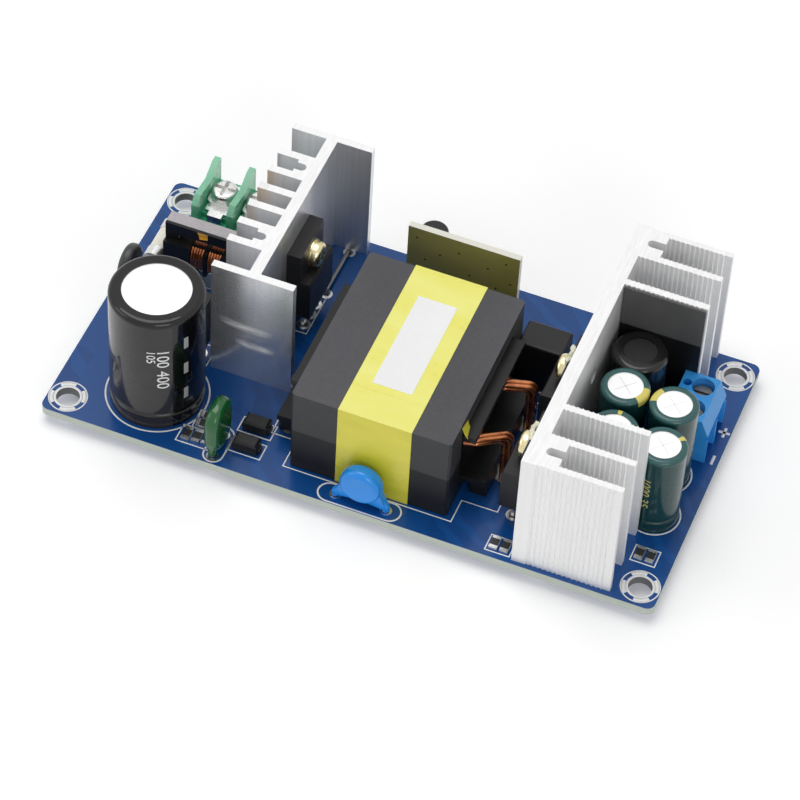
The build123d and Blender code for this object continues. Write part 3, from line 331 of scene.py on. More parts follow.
# Extruded aluminium: streaks along Z on the walls, and sawn ends that scatter more.
def sinkFinish(name, color, rough, metallic, streaks, grain, stained):
    look = sinkLook
    made = Finish(name, {})
    x, y, z = made.axes()
    up = abs(made.facing()[2]) > 0.7
    lines = made.noise(look["fineStreaks"], 1, 0.5)
    broad = made.noise(look["broadStreaks"], 1, 0.5)
    haze = made.noise(look["haze"], 4, 0.55)
    sawn = made.noise(look["sawCuts"], 4, 0.6)
    pattern = lines * 0.35 + broad * 0.3 + haze * 0.35
    wall = made.mottle(pattern, worn(color, streaks), color, 0.12)
    shine = made.spread(haze, noiseMiddle, (rough * 0.8, rough * 1.25))
    metal = metallic
    if stained:
        front = y < look["plateFront"]
        plates = (x > look["finsEnd"]).either(front)
        metal = look["plateMetal"] * plates + metallic * (1 - plates)
        shine = shine * (1 - front * look["platePolish"])
    metal = metal * (1 - up) + up * look["endMetal"]
    if stained:
        marks = stainMask(made, x, y, z)
        wall = made.blend(marks, wall, look["stain"])
        metal = metal * (1 - marks)
        rubbed = made.spread(made.noise(look["rubs"], 3), (0.3, 0.62), (0.35, 1.0))
        for smudge in look["smudges"]:
            smear = smudgeMask(made, x, z, smudge) * rubbed * front
            wall = made.blend(smear, wall, grey(1.0))
            metal = metal * (1 - smear)
    end = made.mottle(sawn, look["sawn"], look["cut"], 0.2)
    made.set("Base Color", made.blend(up, wall, end))
    made.set("Metallic", metal)
    made.set("Roughness", shine * (1 - up) + up * look["endRoughness"])
    made.bump(lines * (1 - up) * grain + sawn * up, 0.3, 0.00004)
    return made.material


mouldedLook = {"grain": 2600, "clouds": 110, "paler": 1.25, "lift": 0.002, "coatRoughness": 0.12}


# Moulded plastic, dips and tapes: a fine grain with slightly paler clouds.
def mouldedFinish(name, color, rough, grain=0.25, coat=0.0, specular=0.5):
    look = mouldedLook
    made = Finish(name, {
        "Coat Weight": coat, "Coat Roughness": look["coatRoughness"], "Specular IOR Level": specular})
    fine = made.noise(look["grain"], 3, 0.6)
    broad = made.noise(look["clouds"], 3, 0.5)
    pale = tuple(min(1, c * look["paler"] + look["lift"]) for c in color[:3]) + (1,)
    made.set("Base Color", made.mottle(broad * 0.6 + fine * 0.4, color, pale))
    made.rough(broad, rough * 0.85, rough * 1.2)
    made.bump(fine, grain, 0.00003)
    return made.material


sheetLook = {
    "foldAbove": 16.6,
    "foldHalf": 0.00012,
    "foldShare": 0.6,
    # Paler grey along the fold is a painted highlight; the colours below the fold are painted shade
    # from the drum inductor.
    "foldHighlight": 0.09,
    "below": (0.006, 0.014),
    "above": (0.075, 0.125),
    "dust": (180, 180, 60),
    "shine": (0.3, 0.55),
}


# The black sheet in the bay, greyer above its fold line; below the fold it is painted darker as the
# shade cast by the drum inductor, and the fold line is a painted highlight.
def sheetFinish():
    look = sheetLook
    made = Finish("blackSheet", {"Specular IOR Level": 0.3})
    height = made.axes()[2] - (boardTop + look["foldAbove"] * mm)
    crease = abs(height) < look["foldHalf"]
    dust = made.noise(look["dust"], 4, 0.6)
    # Painted shade: the sheet below the fold is much darker.
    below = made.blend(dust, grey(look["below"][0]), grey(look["below"][1]))
    above = made.blend(dust, grey(look["above"][0]), grey(look["above"][1]))
    plain = made.blend(height > 0, below, above)
    # Painted highlight along the fold line.
    made.set("Base Color", made.blend(crease * look["foldShare"], plain, grey(look["foldHighlight"])))
    made.rough(dust, *look["shine"])
    made.bump(dust + crease, 0.3, 0.00005)
    return made.material


greenLook = {
    "deep": (0.04, 0.54, 0.26, 1),
    "clear": (0.08, 0.64, 0.34, 1),
    # Pale green for the top: painted light through the thin walls.
    "thin": (0.52, 0.95, 0.70, 1),
    "thinFrom": 0.0055,
    "thinShare": 0.85,
    "swirls": 160,
    "shine": (0.2, 0.32),
}


# Clear green moulding whose walls grow thin towards the top, where it is blended to a pale green as
# painted light shining through them.
def greenFinish():
    look = greenLook
    low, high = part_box("mains_terminal_housing")
    made = Finish("greenTerminal", {
        "Coat Weight": 0.3, "Coat Roughness": 0.12, "Transmission Weight": 0.3,
        "IOR": 1.35, "Specular IOR Level": 0.4})
    # Painted light: the blend towards pale green grows with height.
    thin = made.spread(made.axes()[2], (low[2] + look["thinFrom"], high[2]), (0.0, 1.0))
    swirl = made.noise(look["swirls"], 3)
    body = made.mottle(swirl, look["deep"], look["clear"])
    made.set("Base Color", made.blend(thin * look["thinShare"], body, look["thin"]))
    made.rough(swirl, *look["shine"])
    made.bump(made.noise(900, 2), 0.1, 0.00003)
    return made.material


ferriteLook = {
    "pits": 1500,
    "pitBelow": 0.12,
    "grain": 1500,
    "groundMarks": (70, 30, 200),
    "dark": grey(0.006),
    "darkShare": 0.25,
    "shine": (0.36, 0.5),
}


# Sintered ferrite: a lit grey top, and walls painted darker as shade.
def ferriteFinish(name, litTopColor, shadedWallColor):
    look = ferriteLook
    made = Finish(name, {"Specular IOR Level": 0.25})
    up = made.level()
    pits = made.cells(look["pits"]) < look["pitBelow"]
    fine = made.noise(look["grain"], 3, 0.5)
    ground = made.noise(look["groundMarks"], 3, 0.5)
    shade = made.spread(fine * 0.35 + ground * 0.65, (0.35, 0.65), (look["darkShare"], 0))
    # The walls take the darker colour as painted shade.
    made.set("Base Color", made.blend(shade, made.blend(up, shadedWallColor, litTopColor), look["dark"]))
    made.rough(ground, *look["shine"])
    made.bump(pits * -0.5 + fine * 0.3, 0.25, 0.00003)
    return made.material


tapeLook = {
    "top": (0.97, 0.95, 0.25, 1),
    "topDeep": (0.94, 0.90, 0.17, 1),
    # The wall colours are painted shade: darker copies of the top's yellow.
    "wall": (0.84, 0.77, 0.055, 1),
    "shadedWallDeep": (0.74, 0.67, 0.04, 1),
    "seam": (0.45, 0.38, 0.03, 1),
    "seamShare": 0.12,
    "seamFromFront": 0.0061,
    "seamHalf": 0.00007,
    "ripples": (60, 220, 220),
    "grain": 900,
    "shine": (0.24, 0.4),
}


# Yellow film tape, its walls painted darker than its top as shade, with the end of its last turn as a
# faint seam.
def tapeFinish():
    look = tapeLook
    made = Finish("yellowTape", {"Coat Weight": 0.3, "Coat Roughness": 0.18})
    up = made.level()
    ripple = made.noise(look["ripples"], 3, 0.5)
    grain = made.noise(look["grain"], 2)
    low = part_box("transformer_tape")[0]
    seam = abs(made.axes()[1] - (low[1] + look["seamFromFront"])) < look["seamHalf"]
    top = made.mottle(ripple, look["topDeep"], look["top"])
    wall = made.mottle(ripple, look["shadedWallDeep"], look["wall"])
    # Painted shade: the walls take the darker yellow.
    plain = made.blend(up, wall, top)
    made.set("Base Color", made.blend(seam * look["seamShare"], plain, look["seam"]))
    made.rough(grain * 0.5 + ripple * 0.5, *look["shine"])
    made.bump(ripple + seam * 0.3, 0.3, 0.00006)
    return made.material


labelLook = {"deep": grey(0.95), "face": grey(1.0), "fibres": 1600, "clouds": 120, "shine": (0.4, 0.55)}


def paperFinish():
    look = labelLook
    made = Finish("labelFilm", {"Coat Weight": 0.2, "Coat Roughness": 0.3})
    fibre = made.noise(look["fibres"], 4, 0.6)
    soft = made.noise(look["clouds"], 2)
    made.set("Base Color", made.mottle(soft * 0.6 + fibre * 0.4, look["deep"], look["face"]))
    made.rough(fibre, *look["shine"])
    made.bump(soft + fibre * 0.3, 0.2, 0.00003)
    return made.material


copperLook = {
    "dark": (0.27, 0.06, 0.014, 1),
    "bright": (0.60, 0.20, 0.055, 1),
    "clouds": 380,
    "shine": (0.22, 0.36),
}


def copperFinish():
    look = copperLook
    made = Finish("enamelledCopper", {
        "Metallic": 0.8, "Coat Weight": 0.8, "Coat Roughness": 0.08})
    tone = made.noise(look["clouds"], 3, 0.6)
    made.set("Base Color", made.mottle(tone, look["dark"], look["bright"], 0.2))
    made.rough(tone, *look["shine"])
    made.bump(tone, 0.15, 0.00003)
    return made.material


bulkLook = {
    # The dark grey of the body and its pale variant is a painted reflection on the black sleeve.
    "body": (0.022, 0.020, 0.022, 1),
    "rim": (0.006, 0.005, 0.006, 1),
    "rimHeight": 0.0012,
    "sheenGreyPale": (0.036, 0.033, 0.036, 1),
    "band": (0.003, 0.003, 0.003, 1),
    "mark": (0.42, 0.42, 0.42, 1),
    "bandFrom": -48.0,
    "bandTo": 67.0,
    "markAt": -30.0,
    "markHalfDegrees": 3.2,
    "markPitch": 0.0062,
    "markHeight": 0.0026,
    "marksFrom": 0.005,
    "marksTo": 0.0225,
    "clouds": 150,
    "wrinkles": (90, 90, 400),
    "shine": (0.22, 0.34),
}


# The glossy black sleeve, painted dark grey outside its band as a painted reflection, with one black
# band that carries plain minus marks.
def bulkSleeveFinish():
    look = bulkLook
    low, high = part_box("bulk_capacitor_sleeve")
    made = Finish("darkSleeve", {
        "Coat Weight": 0.6, "Coat Roughness": 0.03, "Specular IOR Level": 0.1})
    x, y, z = made.axes()
    turn = (y - (low[1] + high[1]) / 2).degrees(x - (low[0] + high[0]) / 2)
    height = z - low[2]
    side = height < (high[2] - low[2]) - look["rimHeight"]
    band = turn.within(look["bandFrom"], look["bandTo"]) * side
    mark = abs(turn - look["markAt"]) < look["markHalfDegrees"]
    mark = mark * ((height % look["markPitch"]) < look["markHeight"])
    mark = mark * height.within(look["marksFrom"], look["marksTo"]) * side
    haze = made.noise(look["clouds"], 3)
    # Painted reflection: outside the band and the rim the sleeve is dark grey.
    plain = made.blend(side, look["rim"], made.mottle(haze, look["body"], look["sheenGreyPale"], 0.2))
    made.set("Base Color", made.blend(mark, made.blend(band, plain, look["band"]), look["mark"]))
    made.rough(haze, *look["shine"])
    made.bump(made.noise(look["wrinkles"], 2), 0.12, 0.00005)
    return made.material


outputLook = {
    "body": (0.008, 0.05, 0.052, 1),
    "rim": (0.03, 0.115, 0.112, 1),
    "rimFrom": 0.0012,
    "rimTo": 0.0003,
    "patch": (0.80, 0.70, 0.16, 1),
    "centres": ((38.5, 0.2), (47.3, -0.4), (39.8, -9.2), (48.4, -9.5)),
    "patches": ((0, -14.0, 26.0), (1, 168.0, 24.0), (2, 93.0, 6.0), (3, 44.0, 7.0)),
    "patchTop": 0.0013,
    "reach": 0.0045,
    "clouds": 220,
    "wrinkles": (120, 120, 500),
    "shine": (0.18, 0.3),
}


def fromCentre(x, y, centre):
    dx = x - centre[0] * mm
    dy = y - centre[1] * mm
    return dx, dy, (dx * dx + dy * dy).root()


# Teal sleeves with a yellow patch over the rim of each: (which can, its turn, half its degrees).
def outputSleeveFinish():
    look = outputLook
    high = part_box("output_capacitor_sleeves")[1]
    made = Finish("tealSleeve", {
        "Coat Weight": 0.5, "Coat Roughness": 0.05, "Specular IOR Level": 0.2})
    x, y, z = made.axes()
    stripe = None
    for which, turnAt, halfDegrees in look["patches"]:
        dx, dy, distance = fromCentre(x, y, look["centres"][which])
        aside = ((dy.degrees(dx) - turnAt + 180) % 360) - 180
        here = (abs(aside) < halfDegrees) * (distance < look["reach"])
        stripe = here if stripe is None else stripe.either(here)
    stripe = stripe * (z > high[2] - look["patchTop"])
    haze = made.noise(look["clouds"], 3)
    rim = made.spread(z, (high[2] - look["rimFrom"], high[2] - look["rimTo"]), (0, 1))
    plain = made.blend(rim, look["body"], look["rim"])
    made.set("Base Color", made.blend(stripe, plain, look["patch"]))
    made.rough(haze, *look["shine"])
    made.bump(made.noise(look["wrinkles"], 2), 0.2, 0.00004)
    return made.material


canLook = {
    "deep": grey(0.90),
    "face": grey(0.97),
    "metal": 0.55,
    "grain": 1500,
    "clouds": 140,
    "shine": (0.34, 0.5),
    "score": grey(0.35),
    "scoreShare": 0.3,
    "scoreHalf": 0.00012,
    "scoreReach": 0.0021,
}


# Bright aluminium tops; the small cans have a scored vent.
def canFinish(name, centres):
    look = canLook
    made = Finish(name, {"Metallic": look["metal"]})
    x, y = made.axes()[:2]
    grain = made.noise(look["grain"], 4, 0.6)
    soft = made.noise(look["clouds"], 3)
    color = made.mottle(soft, look["deep"], look["face"], 0.2)
    height = grain * 0.2
    for centre in centres:
        dx, dy, distance = fromCentre(x, y, centre)
        cross = (abs(dx + dy) < look["scoreHalf"]) + (abs(dx - dy) < look["scoreHalf"])
        cross = cross * (distance < look["scoreReach"])
        color = made.blend(cross * look["scoreShare"], color, look["score"])
        height = height - cross
    made.set("Base Color", color)
    made.rough(soft, *look["shine"])
    made.bump(height, 0.5, 0.00012)
    return made.material


chipLook = {
    "top": grey(0.01),
    "topPale": grey(0.03),
    "wall": grey(0.75, (1, 0.98, 0.92)),
    "grain": 2400,
    "shine": (0.3, 0.45),
    "cap": 0.6,
    "proud": 0.03,
}


def chipFinish():
    look = chipLook
    made = Finish("chipBody", {})
    fine = made.noise(look["grain"], 3)
    top = made.blend(fine, look["top"], look["topPale"])
    made.set("Base Color", made.blend(made.level(), look["wall"], top))
    made.rough(fine, *look["shine"])
    made.bump(fine, 0.2, 0.00002)
    return made.material


controlLook = {
    "deep": (0.25, 0.235, 0.065, 1),
    "face": (0.33, 0.31, 0.10, 1),
    "edge": (0.86, 0.85, 0.76, 1),
    "weave": 900.0,
    "clouds": 90,
    "shine": (0.35, 0.5),
    "edgeRougher": 0.2,
}


# Bare olive laminate with a woven grain and pale cut edges.
def controlFinish():
    look = controlLook
    made = Finish("oliveLaminate", {"Coat Weight": 0.3, "Coat Roughness": 0.2})
    weave = made.node("ShaderNodeTexWave", {"bands_direction": "X"}, {
        "Vector": made.place, "Scale": look["weave"], "Distortion": 1.0}, 1)
    cloud = made.noise(look["clouds"], 3)
    face = made.mottle(cloud, look["deep"], look["face"], 0.2)
    edge = abs(made.facing()[1]) < 0.5
    made.set("Base Color", made.blend(edge, face, look["edge"]))
    shine = made.spread(cloud, noiseMiddle, look["shine"])
    made.set("Roughness", shine + edge * look["edgeRougher"])
    made.bump(weave * 0.4 + cloud, 0.2, 0.00003)
    return made.material


# Name, colour, roughness, grain, coat and specular level of the moulded and dipped finishes.
mouldedLooks = {
    "moulding": ("blackMoulding", (0.012, 0.012, 0.013, 1), 0.4, 0.25, 0.0, 0.3),
    "bobbin": ("bobbinMoulding", (0.007, 0.007, 0.007, 1), 0.32, 0.15, 0.1, 0.25),
    "pad": ("palePad", (0.72, 0.72, 0.66, 1), 0.6),
    "tapeBlack": ("blackTape", (0.008, 0.008, 0.008, 1), 0.26, 0.3, 0.2, 0.25),
    "ceramic": ("fuseCeramic", (0.80, 0.77, 0.68, 1), 0.35, 0.1),
    "thermistor": ("thermistorDip", (0.022, 0.023, 0.026, 1), 0.4, 0.3, 0.1),
    "blue": ("blueTerminal", (0.035, 0.30, 0.74, 1), 0.34, 0.15, 0.15, 0.35),
    "dipGreen": ("greenDip", (0.006, 0.095, 0.02, 1), 0.16, 0.1, 0.5, 0.3),
    "dipBlue": ("blueDip", (0.006, 0.25, 0.78, 1), 0.2, 0.1, 0.4, 0.3),
    "sleeveBlack": ("blackSleeve", (0.006, 0.006, 0.006, 1), 0.24, 0.2, 0.4, 0.25),
    "goldInk": ("goldInk", (0.50, 0.46, 0.16, 1), 0.4, 0.1),
    "paste": ("palePaste", (0.80, 0.80, 0.62, 1), 0.35, 0.3),
    "amber": ("amberTape", (0.95, 0.42, 0.04, 1), 0.3, 0.2, 0.4),
}

# Name, colour of the lit top and colour of the walls, painted darker as shade, of each ferrite.
ferriteLooks = {
    "ferrite": ("darkFerrite", (0.098, 0.098, 0.108, 1), (0.052, 0.053, 0.056, 1)),
    # The lower core half: a darker copy of the same ferrite, painted shade.
    "ferriteLowShaded": ("lowerFerrite", (0.05, 0.05, 0.054, 1), (0.012, 0.012, 0.013, 1)),
    "ferriteBlack": ("blackFerrite", (0.02, 0.02, 0.021, 1), (0.012, 0.012, 0.012, 1)),
    # The choke core: ferrite painted light grey as a painted reflection, with walls painted darker as
    # shade.
    "ferriteReflectionGrey": ("lightFerrite", (0.56, 0.53, 0.55, 1), (0.36, 0.33, 0.33, 1)),
}

materials = {
    "board": boardFinish(),
    "print": printFinish(),
    "solder": metalFinish("solderTin", grey(0.78), 0.28, 0.2, wear=0.2),
    "plated": metalFinish("brightPlated", grey(0.74, (1, 1, 0.98)), 0.24, 0.15),
    "darkSteel": metalFinish("wellSteel", grey(0.22), 0.35, 0.15, 0.7),
    "zinc": metalFinish("yellowZinc", (0.86, 0.76, 0.46, 1), 0.26, 0.2, wear=0.25),
    "tinned": metalFinish("tinnedWire", grey(0.8), 0.25, 0.15),
    "sinkPlain": sinkFinish("plainExtrusion", sinkLook["plain"], 0.36, 0.4, 0.14, 0.8, True),
    "sinkRibbed": sinkFinish("ribbedExtrusion", sinkLook["ribbed"], 0.5, 0.42, 0.05, 0.12, False),
    "tape": tapeFinish(),
    "label": paperFinish(),
    "copper": copperFinish(),
    "sheet": sheetFinish(),
    "green": greenFinish(),
    "bulkSleeve": bulkSleeveFinish(),
    "outputSleeve": outputSleeveFinish(),
    "bulkCan": canFinish("bulkCanTop", ()),
    "outputCan": canFinish("outputCanTop", outputLook["centres"]),
    "chip": chipFinish(),
    "control": controlFinish(),
}
for key, row in mouldedLooks.items():
    materials[key] = mouldedFinish(*row)
for key, row in ferriteLooks.items():
    materials[key] = ferriteFinish(*row)
print("finishes made:", len(materials))

nodeFinish = {
    "circuit_board": "board",
    "solder_joints": "solder",
    "heatsink_screws": "plated",
    "primary_heatsink": "sinkPlain",
    "secondary_heatsink": "sinkRibbed",
    "primary_transistor": "moulding",
    "transistor_legs": "tinned",
    "transistor_screw": "zinc",
    "front_rectifier": "moulding",
    "rear_rectifier": "moulding",
    "rectifier_legs": "tinned",
    "rectifier_screws": "zinc",
    "insulating_pads": "pad",
    "bridge_rectifier": "moulding",
    "input_leads": "tinned",
    "choke_core": "ferriteReflectionGrey",
    "choke_bobbin": "bobbin",
    "choke_coil_left": "copper",
    "choke_coil_right": "copper",
    "fuse_body": "ceramic",
    "fuse_caps": "plated",
    "thermistor": "thermistor",
    "mains_terminal_housing": "green",
    "mains_terminal_contacts": "tinned",
    "mains_terminal_washers": "plated",
    "mains_terminal_screws": "plated",
    "bulk_capacitor_sleeve": "bulkSleeve",
    "bulk_capacitor_can": "bulkCan",
    "film_capacitor": "dipGreen",
    "disc_capacitor": "dipBlue",
    "boxed_capacitor": "moulding",
    "capacitor_leads": "tinned",
    "chip_parts": "chip",
    "chip_diodes": "moulding",
    "transformer_core_bottom": "ferriteLowShaded",
    "transformer_core_top": "ferrite",
    "transformer_bobbin": "bobbin",
    "transformer_winding": "tapeBlack",
    "transformer_tape": "tape",
    "transformer_label": "label",
    "transformer_pins": "tinned",
    "front_lead_bundle": "copper",
    "rear_lead_bundle": "copper",
    "jumper_wire": "darkSteel",
    "output_inductor_core": "ferriteBlack",
    "output_inductor_coil": "copper",
    "output_inductor_sleeve": "sleeveBlack",
    "output_inductor_leads": "tinned",
    "insulating_sheet": "sheet",
    "output_terminal_housing": "blue",
    "output_terminal_cages": "darkSteel",
    "output_terminal_screws": "darkSteel",
    "control_board": "control",
    "control_board_pins": "tinned",
    "control_board_parts": "moulding",
    "small_capacitor": "sleeveBlack",
    "optocoupler": "moulding",
    "output_capacitor_cans": "outputCan",
    "output_capacitor_sleeves": "outputSleeve",
}
for name, finish in nodeFinish.items():
    data = nodes[name].data
    data.materials.clear()
    data.materials.append(materials[finish])
print("solids dressed")


# A geometry tree with named sizes; it ends in Realize Instances and Set Material.
class Growth(Sheet):
    def __init__(self, name, sizes):
        tree = bpy.data.node_groups.new(name, "GeometryNodeTree")
        super().__init__(tree)
        tree.interface.new_socket(name="Start", in_out="INPUT", socket_type="NodeSocketGeometry")
        self.sizes = {}
        for label, value in sizes.items():
            item = tree.interface.new_socket(name=label, in_out="INPUT", socket_type="NodeSocketFloat")
            self.sizes[item.identifier] = value
        tree.interface.new_socket(name="Shape", in_out="OUTPUT", socket_type="NodeSocketGeometry")
        self.source = tree.nodes.new("NodeGroupInput")
        self.start = self.size("Start")

    def size(self, label):
        return Link(self, self.source.outputs[label])

    def close(self, shape, material):
        real = self.node("GeometryNodeRealizeInstances", values={0: shape})
        dressed = self.node("GeometryNodeSetMaterial", values={"Geometry": real, "Material": material})
        end = self.tree.nodes.new("NodeGroupOutput")
        self.feed(end.inputs[0], dressed)

    # Runs the tree on a source object and returns the result as a plain mesh piece.
    def grow(self, name, thing):
        bpy.context.scene.collection.objects.link(thing)
        modifier = thing.modifiers.new(name, "NODES")
        modifier.node_group = self.tree
        for key, value in self.sizes.items():
            modifier[key] = value
        mesh = plainMesh(thing)
        thing.modifiers.clear()
        bpy.data.objects.remove(thing)
        return place(name, mesh)


def plainMesh(thing):
    bpy.context.view_layer.update()
    seen = thing.evaluated_get(bpy.context.evaluated_depsgraph_get())
    return bpy.data.meshes.new_from_object(seen)


def place(name, mesh):
    piece = bpy.data.objects.new(name, mesh)
    bpy.context.scene.collection.objects.link(piece)
    return piece


def placeShape(name, shape, material):
    mesh = bpy.data.meshes.new(name)
    shape.to_mesh(mesh)
    shape.free()
    mesh.materials.append(material)
    return place(name, mesh)


def keep(piece):
    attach(piece, "root")
    print("piece:", piece.name, len(piece.data.polygons), "faces")


# Loose points for a tree to place things on, with a width at each where it is needed.
def pointMesh(name, spots, widths=None):
    mesh = bpy.data.meshes.new(name)
    mesh.from_pydata([Vector(s) for s in spots], [], [])
    if widths:
        layer = mesh.attributes.new("wide", "FLOAT", "POINT")
        layer.data.foreach_set("value", widths)
    return bpy.data.objects.new(name, mesh)


printLook = {"ink": 0.02, "lift": 0.012}


# Flat strips of white ink that follow curves on the board's top face.
def drawStrokes(name, lines, width):
    height = boardTop + printLook["lift"] * mm
    curve = bpy.data.curves.new(name, "CURVE")
    curve.dimensions = "3D"
    for points, closed in lines:
        strip = curve.splines.new("POLY")
        strip.points.add(len(points) - 1)
        for point, (px, py) in zip(strip.points, points):
            point.co = (px * mm, py * mm, height, 1)
        strip.use_cyclic_u = closed
    tree = Growth(name, {"Width": width * mm, "Thickness": printLook["ink"] * mm})
    profile = tree.node("GeometryNodeCurvePrimitiveQuadrilateral", values={
        "Width": tree.size("Width"), "Height": tree.size("Thickness")})
    strips = tree.node("GeometryNodeCurveToMesh", values={
        "Curve": tree.start, "Profile Curve": profile, "Fill Caps": True})
    tree.close(strips, materials["print"])
    keep(tree.grow(name, bpy.data.objects.new(name, curve)))


# Lines are (points in millimetres, whether they close).
def circleLine(cx, cy, r, start=0, end=360, steps=48):
    count = max(3, int(steps * abs(end - start) / 360))
    closed = abs(end - start) >= 360
    spots = []
    for i in range(count if closed else count + 1):
        a = math.radians(start + (end - start) * i / count)
        spots.append((cx + r * math.cos(a), cy + r * math.sin(a)))
    return spots, closed


def boxLine(x0, y0, x1, y1):
    return [(x0, y0), (x1, y0), (x1, y1), (x0, y1)], True


def stadiumLine(cx, cy, halfLength, r, alongX, steps=12):
    spots = []
    for end in (1, -1):
        for i in range(steps + 1):
            a = math.radians(-90 + 180 * i / steps) + (0 if end > 0 else math.pi)
            px = end * halfLength + r * math.cos(a)
            py = r * math.sin(a)
            spots.append((cx + px, cy + py) if alongX else (cx - py, cy + px))
    return spots, True


ringLook = {
    "holes": [(sx * 51.5, sy * 25.0) for sx in (-1, 1) for sy in (-1, 1)],
    "inner": (2.25, 0.46),  # radius and width, as in the next two
    "outer": (3.29, 0.24),
    "arcs": (2.83, 0.76),
    "arcFrom": -5,
    "arcSpan": 54,
}


# Two rings and four arcs of ink round each corner hole.
def makeHoleRings():
    look = ringLook
    for name, key in (("holeRingInner", "inner"), ("holeRingOuter", "outer")):
        radius, width = look[key]
        drawStrokes(name, [circleLine(*hole, radius) for hole in look["holes"]], width)
    radius, width = look["arcs"]
    arcs = []
    for hole in look["holes"]:
        for quarter in (0, 90, 180, 270):
            start = look["arcFrom"] + quarter
            arcs.append(circleLine(*hole, radius, start, start + look["arcSpan"]))
    drawStrokes("holeRingArcs", arcs, width)


makeHoleRings()

outlineLook = {
    "width": 0.3,
    "margin": 0.5,
    "bulk": (-38.0, -18.0, 8.85),
    "transformer": [
        (-16.8, 5.6), (-16.8, -18.6), (-12.2, -18.6), (-12.2, -24.6), (18.0, -24.6), (18.0, -19.6),
        (24.4, -19.6), (24.4, 5.6), (18.0, 5.6), (18.0, 11.6), (-12.2, 11.6), (-12.2, 5.6)],
    "disc": (2.5, -26.75, 5.4, 1.95),
    "film": (-23.9, -24.6, 2.3, 1.7),
    "output": 4.55,
    "small": (-5.2, 26.35, 2.45),
    "boxes": [
        (-31.0, -26.5, -24.9, -22.8),  # three chips
        (-29.6, -22.7, -26.0, -18.7),
        (-22.3, -25.0, -16.3, -21.7),  # two diodes
        (-22.3, -20.4, -16.3, -17.1),
        (-26.4, 4.4, -19.9, 13.9),  # transistor
        (25.2, -27.8, 29.5, -24.4),  # chips beside the ribbed heatsink
        (48.0, -20.3, 52.3, -16.9),
        (16.5, 8.0, 25.3, 14.6),  # boxed capacitor
        (-47.4, 16.4, -31.6, 28.2),  # mains terminal
        (-48.3, -9.2, -32.8, -4.7),  # bridge
        (-52.6, 5.6, -48.4, 18.9),  # fuse
        (-9.0, 21.4, 12.6, 24.3),  # control board
    ],
}


# A printed box round a node, with its corners in millimetres.
def aroundNode(node):
    low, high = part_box(node)
    edge = outlineLook["margin"]
    return boxLine(low[0] / mm - edge, low[1] / mm - edge, high[0] / mm + edge, high[1] / mm + edge)


def makeOutlines():
    look = outlineLook
    lines = [
        circleLine(*look["bulk"], steps=72),
        (look["transformer"], True),
        stadiumLine(*look["disc"], True),
        stadiumLine(*look["film"], False),
        aroundNode("choke_core"),
        circleLine(*look["small"]),
    ]
    lines += [boxLine(*corners) for corners in look["boxes"]]
    lines += [circleLine(*centre, look["output"]) for centre in outputLook["centres"]]
    drawStrokes("partOutlines", lines, look["width"])


makeOutlines()
print("outlines printed")

signLook = {
    "width": 0.52,
    "plusAcross": [(52.75, 12.1), (54.75, 12.1)],
    "plusUp": [(53.75, 11.0), (53.75, 13.2)],
    "minus": [(53.85, 4.5), (53.85, 6.6)],
}
signs = [(signLook[key], False) for key in ("plusAcross", "plusUp", "minus")]
drawStrokes("polaritySigns", signs, signLook["width"])


# The box of each separate island of a node's mesh, as pairs of corners in a fixed order.
def islands(node):
    shape = bmesh.new()
    shape.from_mesh(nodes[node].data)
    bmesh.ops.remove_doubles(shape, verts=shape.verts, dist=1e-6)
    left = set(shape.verts)
    found = []
    while left:
        stack = [left.pop()]
        group = []
        while stack:
            vert = stack.pop()
            group.append(vert.co.copy())
            for edge in vert.link_edges:
                other = edge.other_vert(vert)
                if other in left:
                    left.remove(other)
                    stack.append(other)
        low = Vector([min(c[i] for c in group) for i in range(3)])
        high = Vector([max(c[i] for c in group) for i in range(3)])
        found.append((low, high))
    shape.free()
    return sorted(found, key=lambda pair: tuple(pair[0]))


padLook = {"thickness": 0.03, "beyond": 0.28, "hole": 0.55, "lift": 0.008, "steps": 20}


# Tinned rings round every lead, on both faces of the board.
def makePads():
    look = padLook
    spots = []
    widths = []
    for low, high in islands("solder_joints"):
        middle = (low + high) / 2
        for z in (boardTop + look["lift"] * mm, boardUnder - look["lift"] * mm):
            spots.append((middle.x, middle.y, z))
            widths.append((high.x - low.x) / 2 + look["beyond"] * mm)
    tree = Growth("leadPads", {"Hole": look["hole"], "Thickness": look["thickness"] * mm})
    both = tree.node("GeometryNodeJoinGeometry")
    for radius in (tree.size("Hole"), 1.0):
        circle = tree.node("GeometryNodeCurvePrimitiveCircle", values={
            "Resolution": look["steps"], "Radius": radius})
        tree.feed(both.out.node.inputs[0], circle)
    flat = tree.node("GeometryNodeFillCurve", values={"Curve": both})
    wide = tree.node("GeometryNodeInputNamedAttribute", {"data_type": "FLOAT"}, {"Name": "wide"})
    rings = tree.node("GeometryNodeInstanceOnPoints", values={
        "Points": tree.start, "Instance": flat, "Scale": wide})
    tree.close(rings, materials["solder"])
    return tree.grow("leadPads", pointMesh("leadPads", spots, widths))


keep(makePads())


# Tinned caps on both ends of each chip.
def makeChipEnds():
    look = chipLook
    shape = bmesh.new()
    for low, high in islands("chip_parts"):
        size = high - low
        axis = 0 if size.x > size.y else 1
        for side in (-1, 1):
            box = bmesh.ops.create_cube(shape, size=1.0)["verts"]
            middle = (low + high) / 2
            span = size.copy()
            for i in range(3):
                span[i] += 2 * look["proud"] * mm
            span[axis] = look["cap"] * mm
            middle[axis] += side * (size[axis] / 2 - look["cap"] * mm / 2 + look["proud"] * mm)
            for vert in box:
                vert.co = Vector([vert.co[i] * span[i] + middle[i] for i in range(3)])
    return placeShape("chipEnds", shape, materials["solder"])


keep(makeChipEnds())

